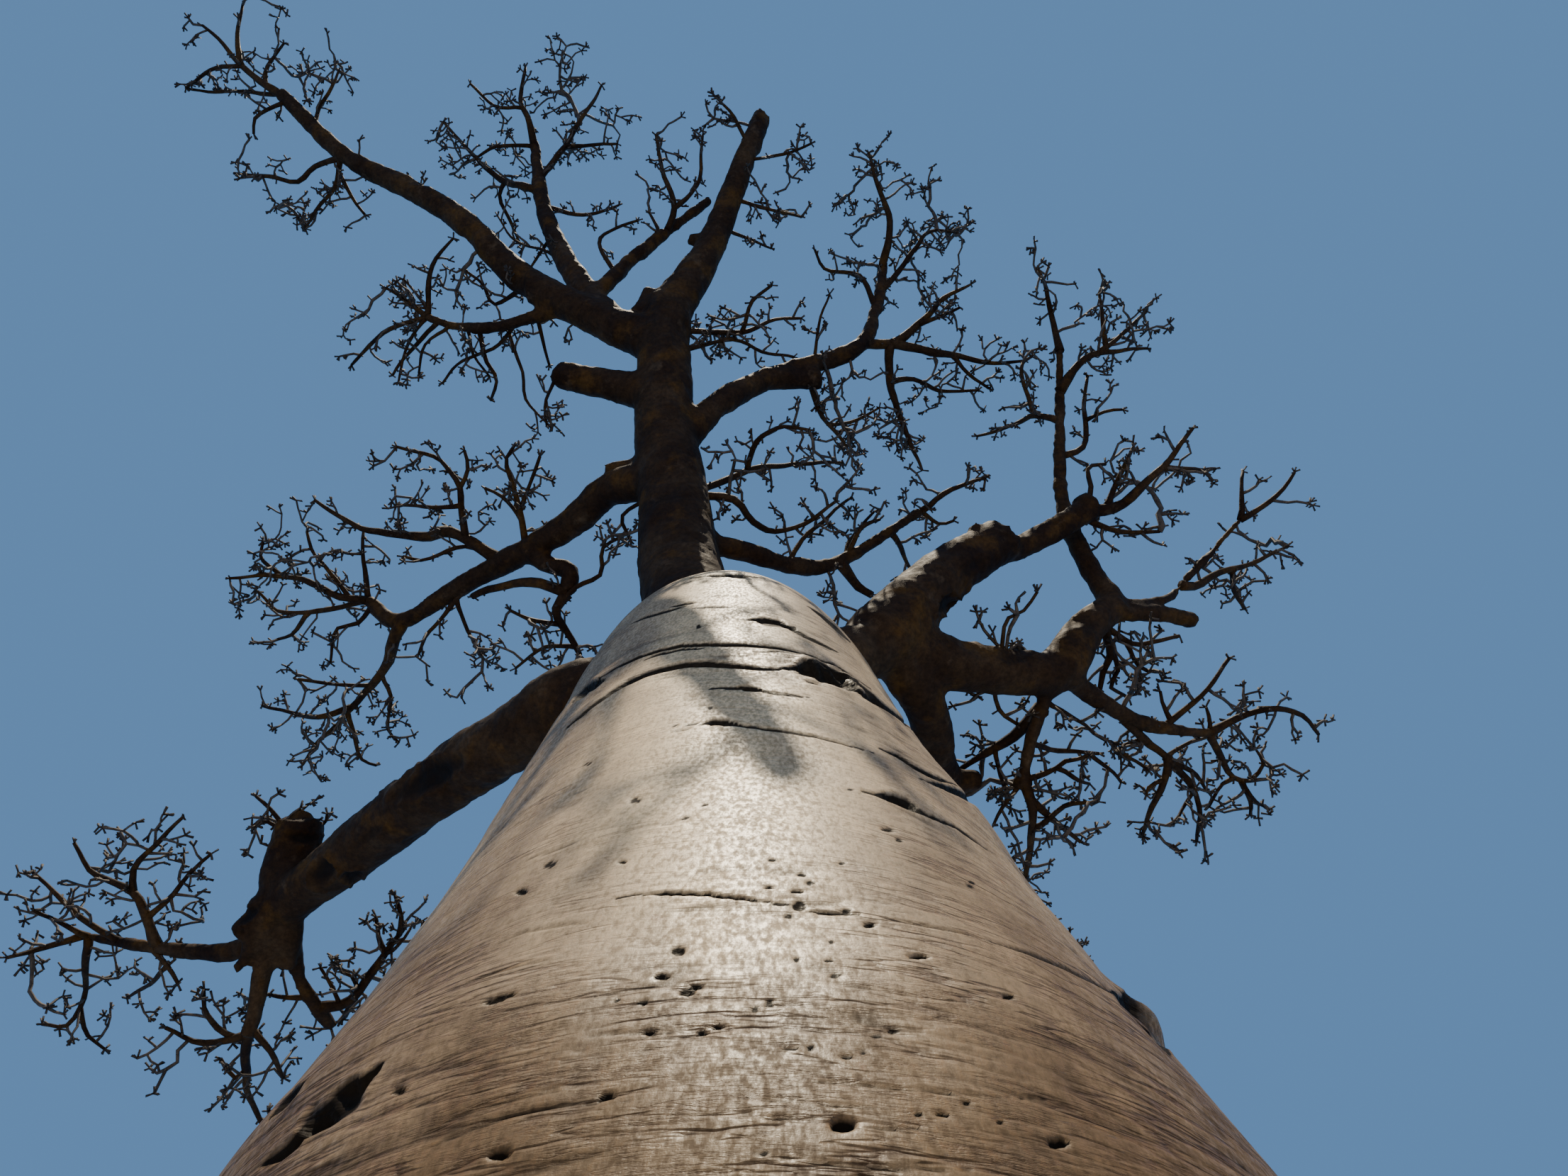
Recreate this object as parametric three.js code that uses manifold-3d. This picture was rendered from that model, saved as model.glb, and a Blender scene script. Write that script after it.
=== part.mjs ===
// A bare baobab tree: trunk, main boughs, broken stubs and the masses of bare twigs.
// Millimetres, +Z up. The origin is the centre of the flat cut at ground level.
// A bearing is in degrees from +X toward +Y, and a climb in degrees above the level.
import * as THREE from "three";
import { mergeVertices } from "three/addons/utils/BufferGeometryUtils.js";
import Module from "manifold-3d";

const wasm = await Module();
wasm.setup();

// Seams between neighbouring solids
const WOOD_SEAM = 0.5;
const MASS_SEAM = 0.8;

// Trunk: lean, and its radius at each height from the root flare to the closed crown of the fork
const TRUNK_LEAN = -0.059;
const TRUNK_SIDES = 20;
const TRUNK_PROFILE = [
  { height: 0, radius: 1330 },
  { height: 250, radius: 1240 },
  { height: 700, radius: 1165 },
  { height: 1500, radius: 1105 },
  { height: 2400, radius: 1050 },
  { height: 2950, radius: 1005 },
  { height: 3500, radius: 930 },
  { height: 4100, radius: 857 },
  { height: 4700, radius: 800 },
  { height: 5400, radius: 740 },
  { height: 6100, radius: 690 },
  { height: 6500, radius: 650 },
  { height: 6850, radius: 585 },
  { height: 7120, radius: 495 },
  { height: 7330, radius: 370 },
  { height: 7460, radius: 210 },
];

// Root flare: broad lobes that fade out with height
const FLARE_LOBES = 5;
const FLARE_DEPTH = 0.05;
const FLARE_HEIGHT = 700;

// A tube has one ring of corners for each stretch of this length, and no less than the count below
const RING_SPACING = 510;
const FEWEST_RINGS = 3;
const THICK_SIDES = 8;
const THIN_SIDES = 6;
const THIN_BELOW = 130;

// Limbs: where each leaves the limb that carries it, as a fraction of that limb or a place in the
// trunk, its radius at foot and tip, and its reaches as bearing, climb and length
const LIMBS = [
  { name: "leader", on: "trunk", foot: [-400, 50, 6200], radius: [235, 142],
    reaches: [[-127, 71, 1340], [-109, 65, 900], [-105, 54, 710], [-95, 50, 600], [-90, 50, 500]] },
  { name: "dead_snag", on: "leader", foot: 0.96, radius: [135, 70],
    reaches: [[-60, 45, 750], [-70, 40, 750], [-70, 40, 650]] },
  { name: "bough_north_west", on: "leader", foot: 0.83, radius: [135, 50],
    reaches: [[-160, 25, 550], [-155, 25, 700], [-140, 25, 700], [-150, 25, 460], [-155, 20, 700],
      [-140, 25, 840]] },
  { name: "bough_north", on: "bough_north_west", foot: 0.14, radius: [105, 40],
    reaches: [[-135, 50, 750], [-125, 50, 850], [-110, 50, 1000]] },
  { name: "bough_north_east", on: "bough_north_west", foot: 0.21, radius: [70, 35],
    reaches: [[-50, 50, 520], [-45, 50, 580], [-40, 45, 640]] },
  { name: "bough_west", on: "bough_north_west", foot: 0.23, radius: [55, 30],
    reaches: [[165, 5, 550], [180, 20, 360], [-165, 20, 240]] },
  { name: "stub_west", on: "leader", foot: 0.67, radius: [115, 85],
    reaches: [[-170, 15, 380], [-170, 15, 380]] },
  { name: "bough_east", on: "leader", foot: 0.51, radius: [100, 35],
    reaches: [[-42, 46, 540], [-25, 45, 550], [-15, 35, 750], [-55, 55, 550], [-75, 55, 650]] },
  { name: "bough_south_west", on: "leader", foot: 0.44, radius: [120, 40],
    reaches: [[171, 23, 430], [140, 15, 440], [150, 10, 860], [150, 5, 520], [-160, 30, 320]] },
  { name: "stub_hook", on: "bough_south_west", foot: 0.48, radius: [60, 60],
    reaches: [[20, -35, 240], [10, -20, 140], [90, -40, 160]] },
  { name: "bough_south_east", on: "leader", foot: 0.31, radius: [66, 30],
    reaches: [[12, 2, 400], [25, 28, 320], [6, 37, 380], [-22, 39, 760]] },
  { name: "bough_far_west", on: "trunk", foot: [-400, 50, 6550], radius: [170, 140],
    reaches: [[-169, 0, 630], [147, 9, 440], [144, 17, 440], [140, 15, 800], [140, 10, 650]] },
  { name: "stub_upright", on: "bough_far_west", foot: 1, radius: [125, 125],
    reaches: [[-113, 46, 180], [-82, 37, 270]] },
  { name: "limb_far_west", on: "bough_far_west", foot: 1, radius: [65, 25],
    reaches: [[135, 0, 400], [170, 15, 540], [175, 20, 640]] },
  { name: "limb_low_west", on: "bough_far_west", foot: 1, radius: [75, 35],
    reaches: [[115, -15, 280], [95, -30, 280], [100, -40, 160]] },
  { name: "limb_back_west", on: "bough_far_west", foot: 1, radius: [60, 35],
    reaches: [[90, 0, 430], [75, 11, 430]] },
  { name: "bough_far_east", on: "trunk", foot: [-400, 0, 6000], radius: [190, 110],
    reaches: [[-15, 50, 1140], [20, 20, 500], [10, 15, 600]] },
  { name: "stub_north_east", on: "bough_far_east", foot: 0.34, radius: [165, 125],
    reaches: [[-30, 50, 600], [-20, 40, 600]] },
  { name: "limb_north_east", on: "stub_north_east", foot: 0.75, radius: [70, 75],
    reaches: [[-5, 35, 450], [-20, 30, 500]] },
  { name: "elbow_east", on: "bough_far_east", foot: 0.99, radius: [110, 85],
    reaches: [[-40, 45, 360], [-20, 45, 320]] },
  { name: "stub_east", on: "elbow_east", foot: 0.80, radius: [52, 46],
    reaches: [[5, 20, 340], [15, 20, 300]] },
  { name: "limb_rising", on: "elbow_east", foot: 1, radius: [68, 26],
    reaches: [[-115, 60, 400], [-100, 60, 500], [-80, 50, 650], [-80, 45, 650]] },
  { name: "limb_far_east", on: "elbow_east", foot: 1, radius: [35, 20],
    reaches: [[2, 26, 380], [-20, 47, 370], [-34, 34, 610]] },
  { name: "limb_south_east", on: "bough_far_east", foot: 1, radius: [62, 26],
    reaches: [[35, 15, 520], [20, 15, 340], [10, 15, 260]] },
  { name: "limb_south", on: "bough_far_east", foot: 0.98, radius: [42, 32],
    reaches: [[110, -10, 360], [100, -10, 220]] },
  { name: "bough_back_east", on: "bough_far_east", foot: 0.38, radius: [105, 80],
    reaches: [[60, 0, 420], [75, 25, 560], [70, 35, 1160], [75, 45, 1000]] },
  { name: "bough_back_west", on: "trunk", foot: [-350, 100, 6000], radius: [180, 95],
    reaches: [[105, 45, 1100], [110, 45, 1050], [95, 50, 1000]] },
];

// Masses of twigs: the limb that carries each, the reach from that limb's tip to the middle of the
// mass, half its length, breadth and height, and how far it is turned about the upright
const MASSES = [
  { name: "twigs_north_west_tip", on: "bough_north_west", reach: [-125, 25, 400],
    spread: [780, 500, 420], turn: 15 },
  { name: "twigs_north_west_low", on: "bough_north_west", reach: [70, -25, 820],
    spread: [660, 400, 340], turn: 20 },
  { name: "twigs_north_left", on: "bough_north", reach: [180, 5, 520],
    spread: [440, 420, 400], turn: -40 },
  { name: "twigs_north_top", on: "bough_north", reach: [-70, 45, 380],
    spread: [680, 560, 440], turn: -20 },
  { name: "twigs_north_east", on: "bough_north_east", reach: [-140, -20, 340],
    spread: [380, 420, 380], turn: 0 },
  { name: "twigs_snag", on: "dead_snag", reach: [75, -35, 620],
    spread: [340, 520, 320], turn: 0 },
  { name: "twigs_west_tip", on: "bough_west", reach: [-170, 20, 280],
    spread: [380, 340, 360], turn: 0 },
  { name: "twigs_west_low", on: "bough_west", reach: [55, -15, 360],
    spread: [620, 320, 320], turn: -8 },
  { name: "twigs_south_west_top", on: "bough_south_west", reach: [-35, -5, 1360],
    spread: [340, 460, 360], turn: 0 },
  { name: "twigs_south_west_middle", on: "bough_south_west", reach: [-55, -5, 880],
    spread: [580, 360, 360], turn: 42 },
  { name: "twigs_south_west_tip", on: "bough_south_west", reach: [-165, 15, 420],
    spread: [640, 520, 460], turn: -10 },
  { name: "twigs_south_west_low", on: "bough_south_west", reach: [105, -15, 600],
    spread: [700, 480, 420], turn: -55 },
  { name: "twigs_south_west_under", on: "bough_south_west", reach: [20, -25, 720],
    spread: [340, 400, 340], turn: 0 },
  { name: "twigs_hook", on: "stub_hook", reach: [110, -15, 320],
    spread: [340, 320, 320], turn: 0 },
  { name: "twigs_middle_east", on: "leader", reach: [10, 5, 580],
    spread: [500, 400, 380], turn: 0 },
  { name: "twigs_east_top", on: "bough_east", reach: [-50, 50, 360],
    spread: [700, 700, 500], turn: 0 },
  { name: "twigs_east_low", on: "bough_east", reach: [95, -45, 1520],
    spread: [440, 500, 400], turn: 0 },
  { name: "twigs_east_out", on: "bough_east", reach: [50, -40, 1160],
    spread: [660, 300, 340], turn: 5 },
  { name: "twigs_inner_east", on: "bough_south_east", reach: [-165, -20, 1100],
    spread: [560, 360, 420], turn: -8 },
  { name: "twigs_south_east_top", on: "bough_south_east", reach: [-30, 50, 160],
    spread: [440, 280, 340], turn: -15 },
  { name: "twigs_far_west_top", on: "limb_far_west", reach: [-40, -5, 600],
    spread: [420, 400, 400], turn: 0 },
  { name: "twigs_far_west_tip", on: "limb_far_west", reach: [120, -20, 180],
    spread: [380, 460, 420], turn: 0 },
  { name: "twigs_low_west", on: "limb_low_west", reach: [130, 20, 160],
    spread: [400, 380, 420], turn: 0 },
  { name: "twigs_back_west", on: "limb_back_west", reach: [-50, 30, 240],
    spread: [380, 400, 420], turn: -40 },
  { name: "twigs_rising", on: "limb_rising", reach: [-50, 20, 360],
    spread: [560, 420, 420], turn: 10 },
  { name: "twigs_north_east_out", on: "limb_north_east", reach: [-15, 30, 460],
    spread: [480, 340, 380], turn: -45 },
  { name: "twigs_far_east", on: "limb_far_east", reach: [50, 40, 320],
    spread: [340, 500, 400], turn: 10 },
  { name: "twigs_south_east_tip", on: "limb_south_east", reach: [15, 25, 340],
    spread: [440, 340, 380], turn: 0 },
  { name: "twigs_south_east_under", on: "limb_south_east", reach: [135, -20, 400],
    spread: [260, 320, 360], turn: 0 },
  { name: "twigs_south", on: "limb_south", reach: [60, -35, 180],
    spread: [360, 360, 420], turn: 0 },
  { name: "twigs_back_east", on: "bough_back_east", reach: [80, 30, 600],
    spread: [840, 700, 560], turn: 60 },
  { name: "twigs_back_middle", on: "bough_back_west", reach: [90, 40, 580],
    spread: [840, 760, 560], turn: 100 },
];

// Unevenness of a mass: bumps on a ball, each as wide as its power makes it
const BALL_DETAIL = 1;
const BUMPS = 11;
const BUMP_HEIGHT = 0.32;
const BUMP_POWER = 7;
const HOLLOW_LEVEL = 0.86;
const GOLDEN_ANGLE = Math.PI * (3 - Math.sqrt(5));

// Bark colours
const TRUNK_BARK = new THREE.MeshStandardMaterial({ color: 0xa3917f, roughness: 0.55, metalness: 0 });
const BOUGH_BARK = new THREE.MeshStandardMaterial({ color: 0x6b6055, roughness: 0.7, metalness: 0 });
const TWIG_BARK = new THREE.MeshStandardMaterial({ color: 0x40372f, roughness: 0.8, metalness: 0 });

// A vector of the given length at a bearing and climb in degrees
function reachVector([bearing, climb, length]) {
  const b = THREE.MathUtils.degToRad(bearing);
  const c = THREE.MathUtils.degToRad(climb);
  const level = Math.cos(c);
  return new THREE.Vector3(level * Math.cos(b), level * Math.sin(b), Math.sin(c)).multiplyScalar(length);
}

// The closed solid of a geometry, with shared corners merged
function solidOf(geometry) {
  const bare = geometry.index ? geometry.toNonIndexed() : geometry.clone();
  bare.deleteAttribute("normal");
  bare.deleteAttribute("uv");
  const merged = mergeVertices(bare, 1e-3);
  const mesh = new wasm.Mesh({
    numProp: 3,
    vertProperties: new Float32Array(merged.attributes.position.array),
    triVerts: new Uint32Array(merged.index.array),
  });
  return new wasm.Manifold(mesh);
}

// The largest piece that a cut leaves
function largestPiece(solid) {
  const pieces = solid.decompose();
  pieces.sort((a, b) => b.volume() - a.volume());
  return pieces[0];
}

function geometryOf(solid) {
  const mesh = solid.getMesh();
  const geometry = new THREE.BufferGeometry();
  geometry.setAttribute("position", new THREE.BufferAttribute(mesh.vertProperties, 3));
  geometry.setIndex(new THREE.BufferAttribute(mesh.triVerts, 1));
  geometry.computeVertexNormals();
  return geometry;
}

// The trunk's radius at a height, by straight lines between the profile's rows
function trunkRadius(height) {
  let row = 0;
  while (row < TRUNK_PROFILE.length - 2 && TRUNK_PROFILE[row + 1].height < height) row += 1;
  const low = TRUNK_PROFILE[row];
  const high = TRUNK_PROFILE[row + 1];
  return THREE.MathUtils.mapLinear(height, low.height, high.height, low.radius, high.radius);
}

// A cylinder whose rings are moved to the profile's heights and radii and along the lean
function trunkGeometry(grow) {
  const rows = TRUNK_PROFILE.length - 1;
  const geometry = new THREE.CylinderGeometry(1, 1, 1, TRUNK_SIDES, rows);
  const places = geometry.attributes.position;
  for (let i = 0; i < places.count; i += 1) {
    const x = places.getX(i);
    const y = -places.getZ(i);
    const row = Math.round((places.getY(i) + 0.5) * rows);
    const height = TRUNK_PROFILE[row].height + (row === rows ? grow : 0);
    const lobes = Math.cos(FLARE_LOBES * Math.atan2(y, x)) * Math.exp(-height / FLARE_HEIGHT);
    const radius = trunkRadius(height) * (1 + FLARE_DEPTH * lobes) + grow;
    places.setXYZ(i, TRUNK_LEAN * height + radius * x, radius * y, height);
  }
  return geometry;
}

// The centre line of a limb through the ends of its reaches
function centreLine(limb, lines) {
  const place = typeof limb.foot === "number"
    ? lines.get(limb.on).getPoint(limb.foot)
    : new THREE.Vector3(...limb.foot);
  const knots = [place];
  for (const reach of limb.reaches) {
    knots.push(knots[knots.length - 1].clone().add(reachVector(reach)));
  }
  return new THREE.CatmullRomCurve3(knots, false, "catmullrom", 0.5);
}

// Frames along a curve, each turned as little as can be from the one before
function framesAlong(curve, rings) {
  const frames = [];
  let normal = new THREE.Vector3(0.3, 0.2, 1);
  for (let ring = 0; ring <= rings; ring += 1) {
    const t = ring / rings;
    const tangent = curve.getTangent(t);
    normal = normal.clone().addScaledVector(tangent, -normal.dot(tangent)).normalize();
    const side = new THREE.Vector3().crossVectors(normal, tangent);
    frames.push({ centre: curve.getPoint(t), tangent, normal, side });
  }
  return frames;
}

// A cylinder bent along a limb's centre line, tapering from foot to tip
function limbGeometry(limb, curve, grow) {
  const rings = Math.max(FEWEST_RINGS, Math.round(curve.getLength() / RING_SPACING));
  const sides = limb.radius[0] < THIN_BELOW ? THIN_SIDES : THICK_SIDES;
  const geometry = new THREE.CylinderGeometry(1, 1, 1, sides, rings);
  const frames = framesAlong(curve, rings);
  const places = geometry.attributes.position;
  for (let i = 0; i < places.count; i += 1) {
    const ring = Math.round((places.getY(i) + 0.5) * rings);
    const frame = frames[ring];
    const radius = THREE.MathUtils.lerp(limb.radius[0], limb.radius[1], ring / rings) + grow;
    const place = frame.centre.clone();
    place.addScaledVector(frame.normal, places.getX(i) * radius);
    place.addScaledVector(frame.side, places.getZ(i) * radius);
    if (ring === rings) place.addScaledVector(frame.tangent, grow);
    if (ring === 0) place.addScaledVector(frame.tangent, -grow);
    places.setXYZ(i, place.x, place.y, place.z);
  }
  return geometry;
}

// The middle of a mass, and the turn that its length takes about the upright
function massPlace(mass, lines) {
  const centre = lines.get(mass.on).getPoint(1).add(reachVector(mass.reach));
  const turn = new THREE.Quaternion();
  turn.setFromAxisAngle(new THREE.Vector3(0, 0, 1), THREE.MathUtils.degToRad(mass.turn));
  return { centre, turn };
}

// How far out the bumps of mass number `seed` stand in a direction, as a fraction of its spread
function bumpLevel(direction, seed) {
  let level = HOLLOW_LEVEL;
  for (let k = 0; k < BUMPS; k += 1) {
    const z = 1 - (2 * k + 1) / BUMPS;
    const flat = Math.sqrt(1 - z * z);
    const angle = GOLDEN_ANGLE * k + seed;
    const bump = new THREE.Vector3(flat * Math.cos(angle), flat * Math.sin(angle), z);
    const height = BUMP_HEIGHT * (0.5 + 0.5 * Math.sin(3.1 * seed + 2.3 * k));
    level += height * Math.max(0, direction.dot(bump)) ** BUMP_POWER;
  }
  return level;
}

// An uneven ball stretched to the spread of a mass
function massGeometry(mass, seed, lines, grow) {
  const { centre, turn } = massPlace(mass, lines);
  const spread = new THREE.Vector3(...mass.spread);
  const geometry = new THREE.DodecahedronGeometry(1, BALL_DETAIL);
  const places = geometry.attributes.position;
  for (let i = 0; i < places.count; i += 1) {
    const place = new THREE.Vector3().fromBufferAttribute(places, i);
    place.multiplyScalar(bumpLevel(place, seed)).multiply(spread);
    place.setLength(place.length() + grow);
    place.applyQuaternion(turn).add(centre);
    places.setXYZ(i, place.x, place.y, place.z);
  }
  return geometry;
}

// Whether a limb's tip lies inside a mass, so that the limb ends where it enters it
function endsIn(limb, mass, lines) {
  const { centre, turn } = massPlace(mass, lines);
  const tip = lines.get(limb.name).getPoint(1).sub(centre).applyQuaternion(turn.invert());
  return tip.divide(new THREE.Vector3(...mass.spread)).length() < HOLLOW_LEVEL;
}

function boxesMeet(a, b) {
  const one = a.boundingBox();
  const two = b.boundingBox();
  return [0, 1, 2].every((k) => one.min[k] <= two.max[k] && two.min[k] <= one.max[k]);
}

// Cuts a solid clear of each of the others that it can reach, and keeps its largest piece
function cutClear(solid, others) {
  let left = solid;
  for (const other of others) {
    if (boxesMeet(left, other)) left = left.subtract(other);
  }
  return largestPiece(left);
}

function addPiece(group, name, solid, bark) {
  const mesh = new THREE.Mesh(geometryOf(solid), bark);
  mesh.name = name;
  group.add(mesh);
}

function buildTree() {
  const group = new THREE.Group();
  const lines = new Map();
  for (const limb of LIMBS) lines.set(limb.name, centreLine(limb, lines));
  const massRoom = MASSES.map((mass, i) => solidOf(massGeometry(mass, i + 1, lines, MASS_SEAM)));

  addPiece(group, "trunk", solidOf(trunkGeometry(0)), TRUNK_BARK);

  const woodRoom = [solidOf(trunkGeometry(WOOD_SEAM))];
  for (const limb of LIMBS) {
    const curve = lines.get(limb.name);
    const endMasses = massRoom.filter((_, i) => endsIn(limb, MASSES[i], lines));
    const solid = cutClear(solidOf(limbGeometry(limb, curve, 0)), [...woodRoom, ...endMasses]);
    addPiece(group, limb.name, solid, BOUGH_BARK);
    woodRoom.push(solidOf(limbGeometry(limb, curve, WOOD_SEAM)));
  }

  MASSES.forEach((mass, i) => {
    const passing = woodRoom.filter((_, k) => k === 0 || !endsIn(LIMBS[k - 1], mass, lines));
    const solid = solidOf(massGeometry(mass, i + 1, lines, 0));
    addPiece(group, mass.name, cutClear(solid, [...passing, ...massRoom.slice(0, i)]), TWIG_BARK);
  });
  return group;
}

export default buildTree();
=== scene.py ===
"""A leafless baobab: bark on trunk and boughs, and sprays of bare twigs grown through the masses.

Metres, +Z up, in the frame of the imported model. A bearing is in degrees from +X toward +Y, and a
climb in degrees above the level.
"""

import math

import bpy
import numpy as np
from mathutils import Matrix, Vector
from mathutils.bvhtree import BVHTree


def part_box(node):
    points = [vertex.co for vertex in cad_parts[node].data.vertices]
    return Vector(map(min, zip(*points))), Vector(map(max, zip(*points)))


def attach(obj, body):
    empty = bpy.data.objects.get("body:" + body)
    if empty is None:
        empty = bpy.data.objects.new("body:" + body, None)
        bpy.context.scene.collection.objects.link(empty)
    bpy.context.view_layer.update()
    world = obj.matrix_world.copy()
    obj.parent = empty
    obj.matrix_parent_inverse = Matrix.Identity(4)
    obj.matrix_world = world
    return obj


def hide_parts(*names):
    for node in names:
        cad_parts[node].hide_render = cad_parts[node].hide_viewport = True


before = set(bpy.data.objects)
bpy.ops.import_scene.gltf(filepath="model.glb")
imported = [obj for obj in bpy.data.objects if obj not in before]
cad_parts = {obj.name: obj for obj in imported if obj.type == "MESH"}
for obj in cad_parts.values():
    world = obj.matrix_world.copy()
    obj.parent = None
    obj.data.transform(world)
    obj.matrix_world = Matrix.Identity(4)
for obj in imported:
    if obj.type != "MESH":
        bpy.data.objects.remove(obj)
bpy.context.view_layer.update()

# The camera stands beside the trunk at eye level and looks steeply up it
CAMERA_PLACE = (-0.13, -1.90, 1.60)
CAMERA_PITCH = 75
CAMERA_LENS = 26
SENSOR_WIDTH = 36
PHOTO_SIZE = (2212, 1659)

# Trunk: lean, profile as height and radius, and the flare of the root
TRUNK_LEAN = -0.059
TRUNK_PROFILE = (
    (0.00, 1.330), (0.25, 1.240), (0.70, 1.165), (1.50, 1.105), (2.40, 1.050), (2.95, 1.005),
    (3.50, 0.930), (4.10, 0.857), (4.70, 0.800), (5.40, 0.740), (6.10, 0.690), (6.50, 0.650),
    (6.85, 0.585), (7.12, 0.495), (7.33, 0.370), (7.46, 0.210), (7.50, 0.000),
)
FLARE_LOBES = 5
FLARE_DEPTH = 0.05
FLARE_HEIGHT = 0.70

# Limbs: name, what carries it, its foot as a fraction of that limb or a place in the trunk,
# radius at foot and tip, and its reaches as bearing, climb and length
LIMBS = (
    ("leader", "trunk", (-0.40, 0.05, 6.20), (0.272, 0.162),
     ((-127, 71, 1.34), (-109, 65, 0.90), (-105, 54, 0.71), (-95, 50, 0.60), (-90, 50, 0.50))),
    ("dead_snag", "leader", 0.96, (0.135, 0.070),
     ((-60, 45, 0.75), (-70, 40, 0.75), (-70, 40, 0.65))),
    ("bough_north_west", "leader", 0.83, (0.135, 0.050),
     ((-160, 25, 0.55), (-155, 25, 0.70), (-140, 25, 0.70), (-150, 25, 0.46), (-155, 20, 0.70),
      (-140, 25, 0.84))),
    ("bough_north", "bough_north_west", 0.14, (0.105, 0.040),
     ((-135, 50, 0.75), (-125, 50, 0.85), (-110, 50, 1.00))),
    ("bough_north_east", "bough_north_west", 0.21, (0.070, 0.035),
     ((-50, 50, 0.52), (-45, 50, 0.58), (-40, 45, 0.64))),
    ("bough_west", "bough_north_west", 0.23, (0.055, 0.030),
     ((165, 5, 0.55), (180, 20, 0.36), (-165, 20, 0.24))),
    ("stub_west", "leader", 0.67, (0.115, 0.085),
     ((-170, 15, 0.38), (-170, 15, 0.38))),
    ("bough_east", "leader", 0.51, (0.100, 0.035),
     ((-42, 46, 0.54), (-25, 45, 0.55), (-15, 35, 0.75), (-55, 55, 0.55), (-75, 55, 0.65))),
    ("bough_south_west", "leader", 0.44, (0.120, 0.040),
     ((171, 23, 0.43), (140, 15, 0.44), (150, 10, 0.86), (150, 5, 0.52), (-160, 30, 0.32))),
    ("stub_hook", "bough_south_west", 0.48, (0.060, 0.060),
     ((20, -35, 0.24), (10, -20, 0.14), (90, -40, 0.16))),
    ("bough_south_east", "leader", 0.31, (0.066, 0.030),
     ((12, 2, 0.40), (25, 28, 0.32), (6, 37, 0.38), (-22, 39, 0.76))),
    ("bough_far_west", "trunk", (-0.40, 0.05, 6.55), (0.170, 0.140),
     ((-169, 0, 0.63), (147, 9, 0.44), (144, 17, 0.44), (140, 15, 0.80), (140, 10, 0.65))),
    ("stub_upright", "bough_far_west", 1.0, (0.125, 0.125),
     ((-113, 46, 0.18), (-82, 37, 0.27))),
    ("limb_far_west", "bough_far_west", 1.0, (0.065, 0.025),
     ((135, 0, 0.40), (170, 15, 0.54), (175, 20, 0.64))),
    ("limb_low_west", "bough_far_west", 1.0, (0.075, 0.035),
     ((115, -15, 0.28), (95, -30, 0.28), (100, -40, 0.16))),
    ("limb_back_west", "bough_far_west", 1.0, (0.060, 0.035),
     ((90, 0, 0.43), (75, 11, 0.43))),
    ("bough_far_east", "trunk", (-0.40, 0.0, 6.00), (0.190, 0.110),
     ((-15, 50, 1.14), (20, 20, 0.50), (10, 15, 0.60))),
    ("stub_north_east", "bough_far_east", 0.34, (0.165, 0.125),
     ((-30, 50, 0.60), (-20, 40, 0.60))),
    ("limb_north_east", "stub_north_east", 0.75, (0.070, 0.075),
     ((-5, 35, 0.45), (-20, 30, 0.50))),
    ("elbow_east", "bough_far_east", 0.99, (0.110, 0.085),
     ((-40, 45, 0.36), (-20, 45, 0.32))),
    ("stub_east", "elbow_east", 0.80, (0.052, 0.046),
     ((5, 20, 0.34), (15, 20, 0.30))),
    ("limb_rising", "elbow_east", 1.0, (0.068, 0.026),
     ((-115, 60, 0.40), (-100, 60, 0.50), (-80, 50, 0.65), (-80, 45, 0.65))),
    ("limb_far_east", "elbow_east", 1.0, (0.035, 0.020),
     ((2, 26, 0.38), (-20, 47, 0.37), (-34, 34, 0.61))),
    ("limb_south_east", "bough_far_east", 1.0, (0.062, 0.026),
     ((35, 15, 0.52), (20, 15, 0.34), (10, 15, 0.26))),
    ("limb_south", "bough_far_east", 0.98, (0.042, 0.032),
     ((110, -10, 0.36), (100, -10, 0.22))),
    ("bough_back_east", "bough_far_east", 0.38, (0.105, 0.080),
     ((60, 0, 0.42), (75, 25, 0.56), (70, 35, 1.16), (75, 45, 1.00))),
    ("bough_back_west", "trunk", (-0.35, 0.10, 6.00), (0.180, 0.095),
     ((105, 45, 1.10), (110, 45, 1.05), (95, 50, 1.00))),
)

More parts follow.
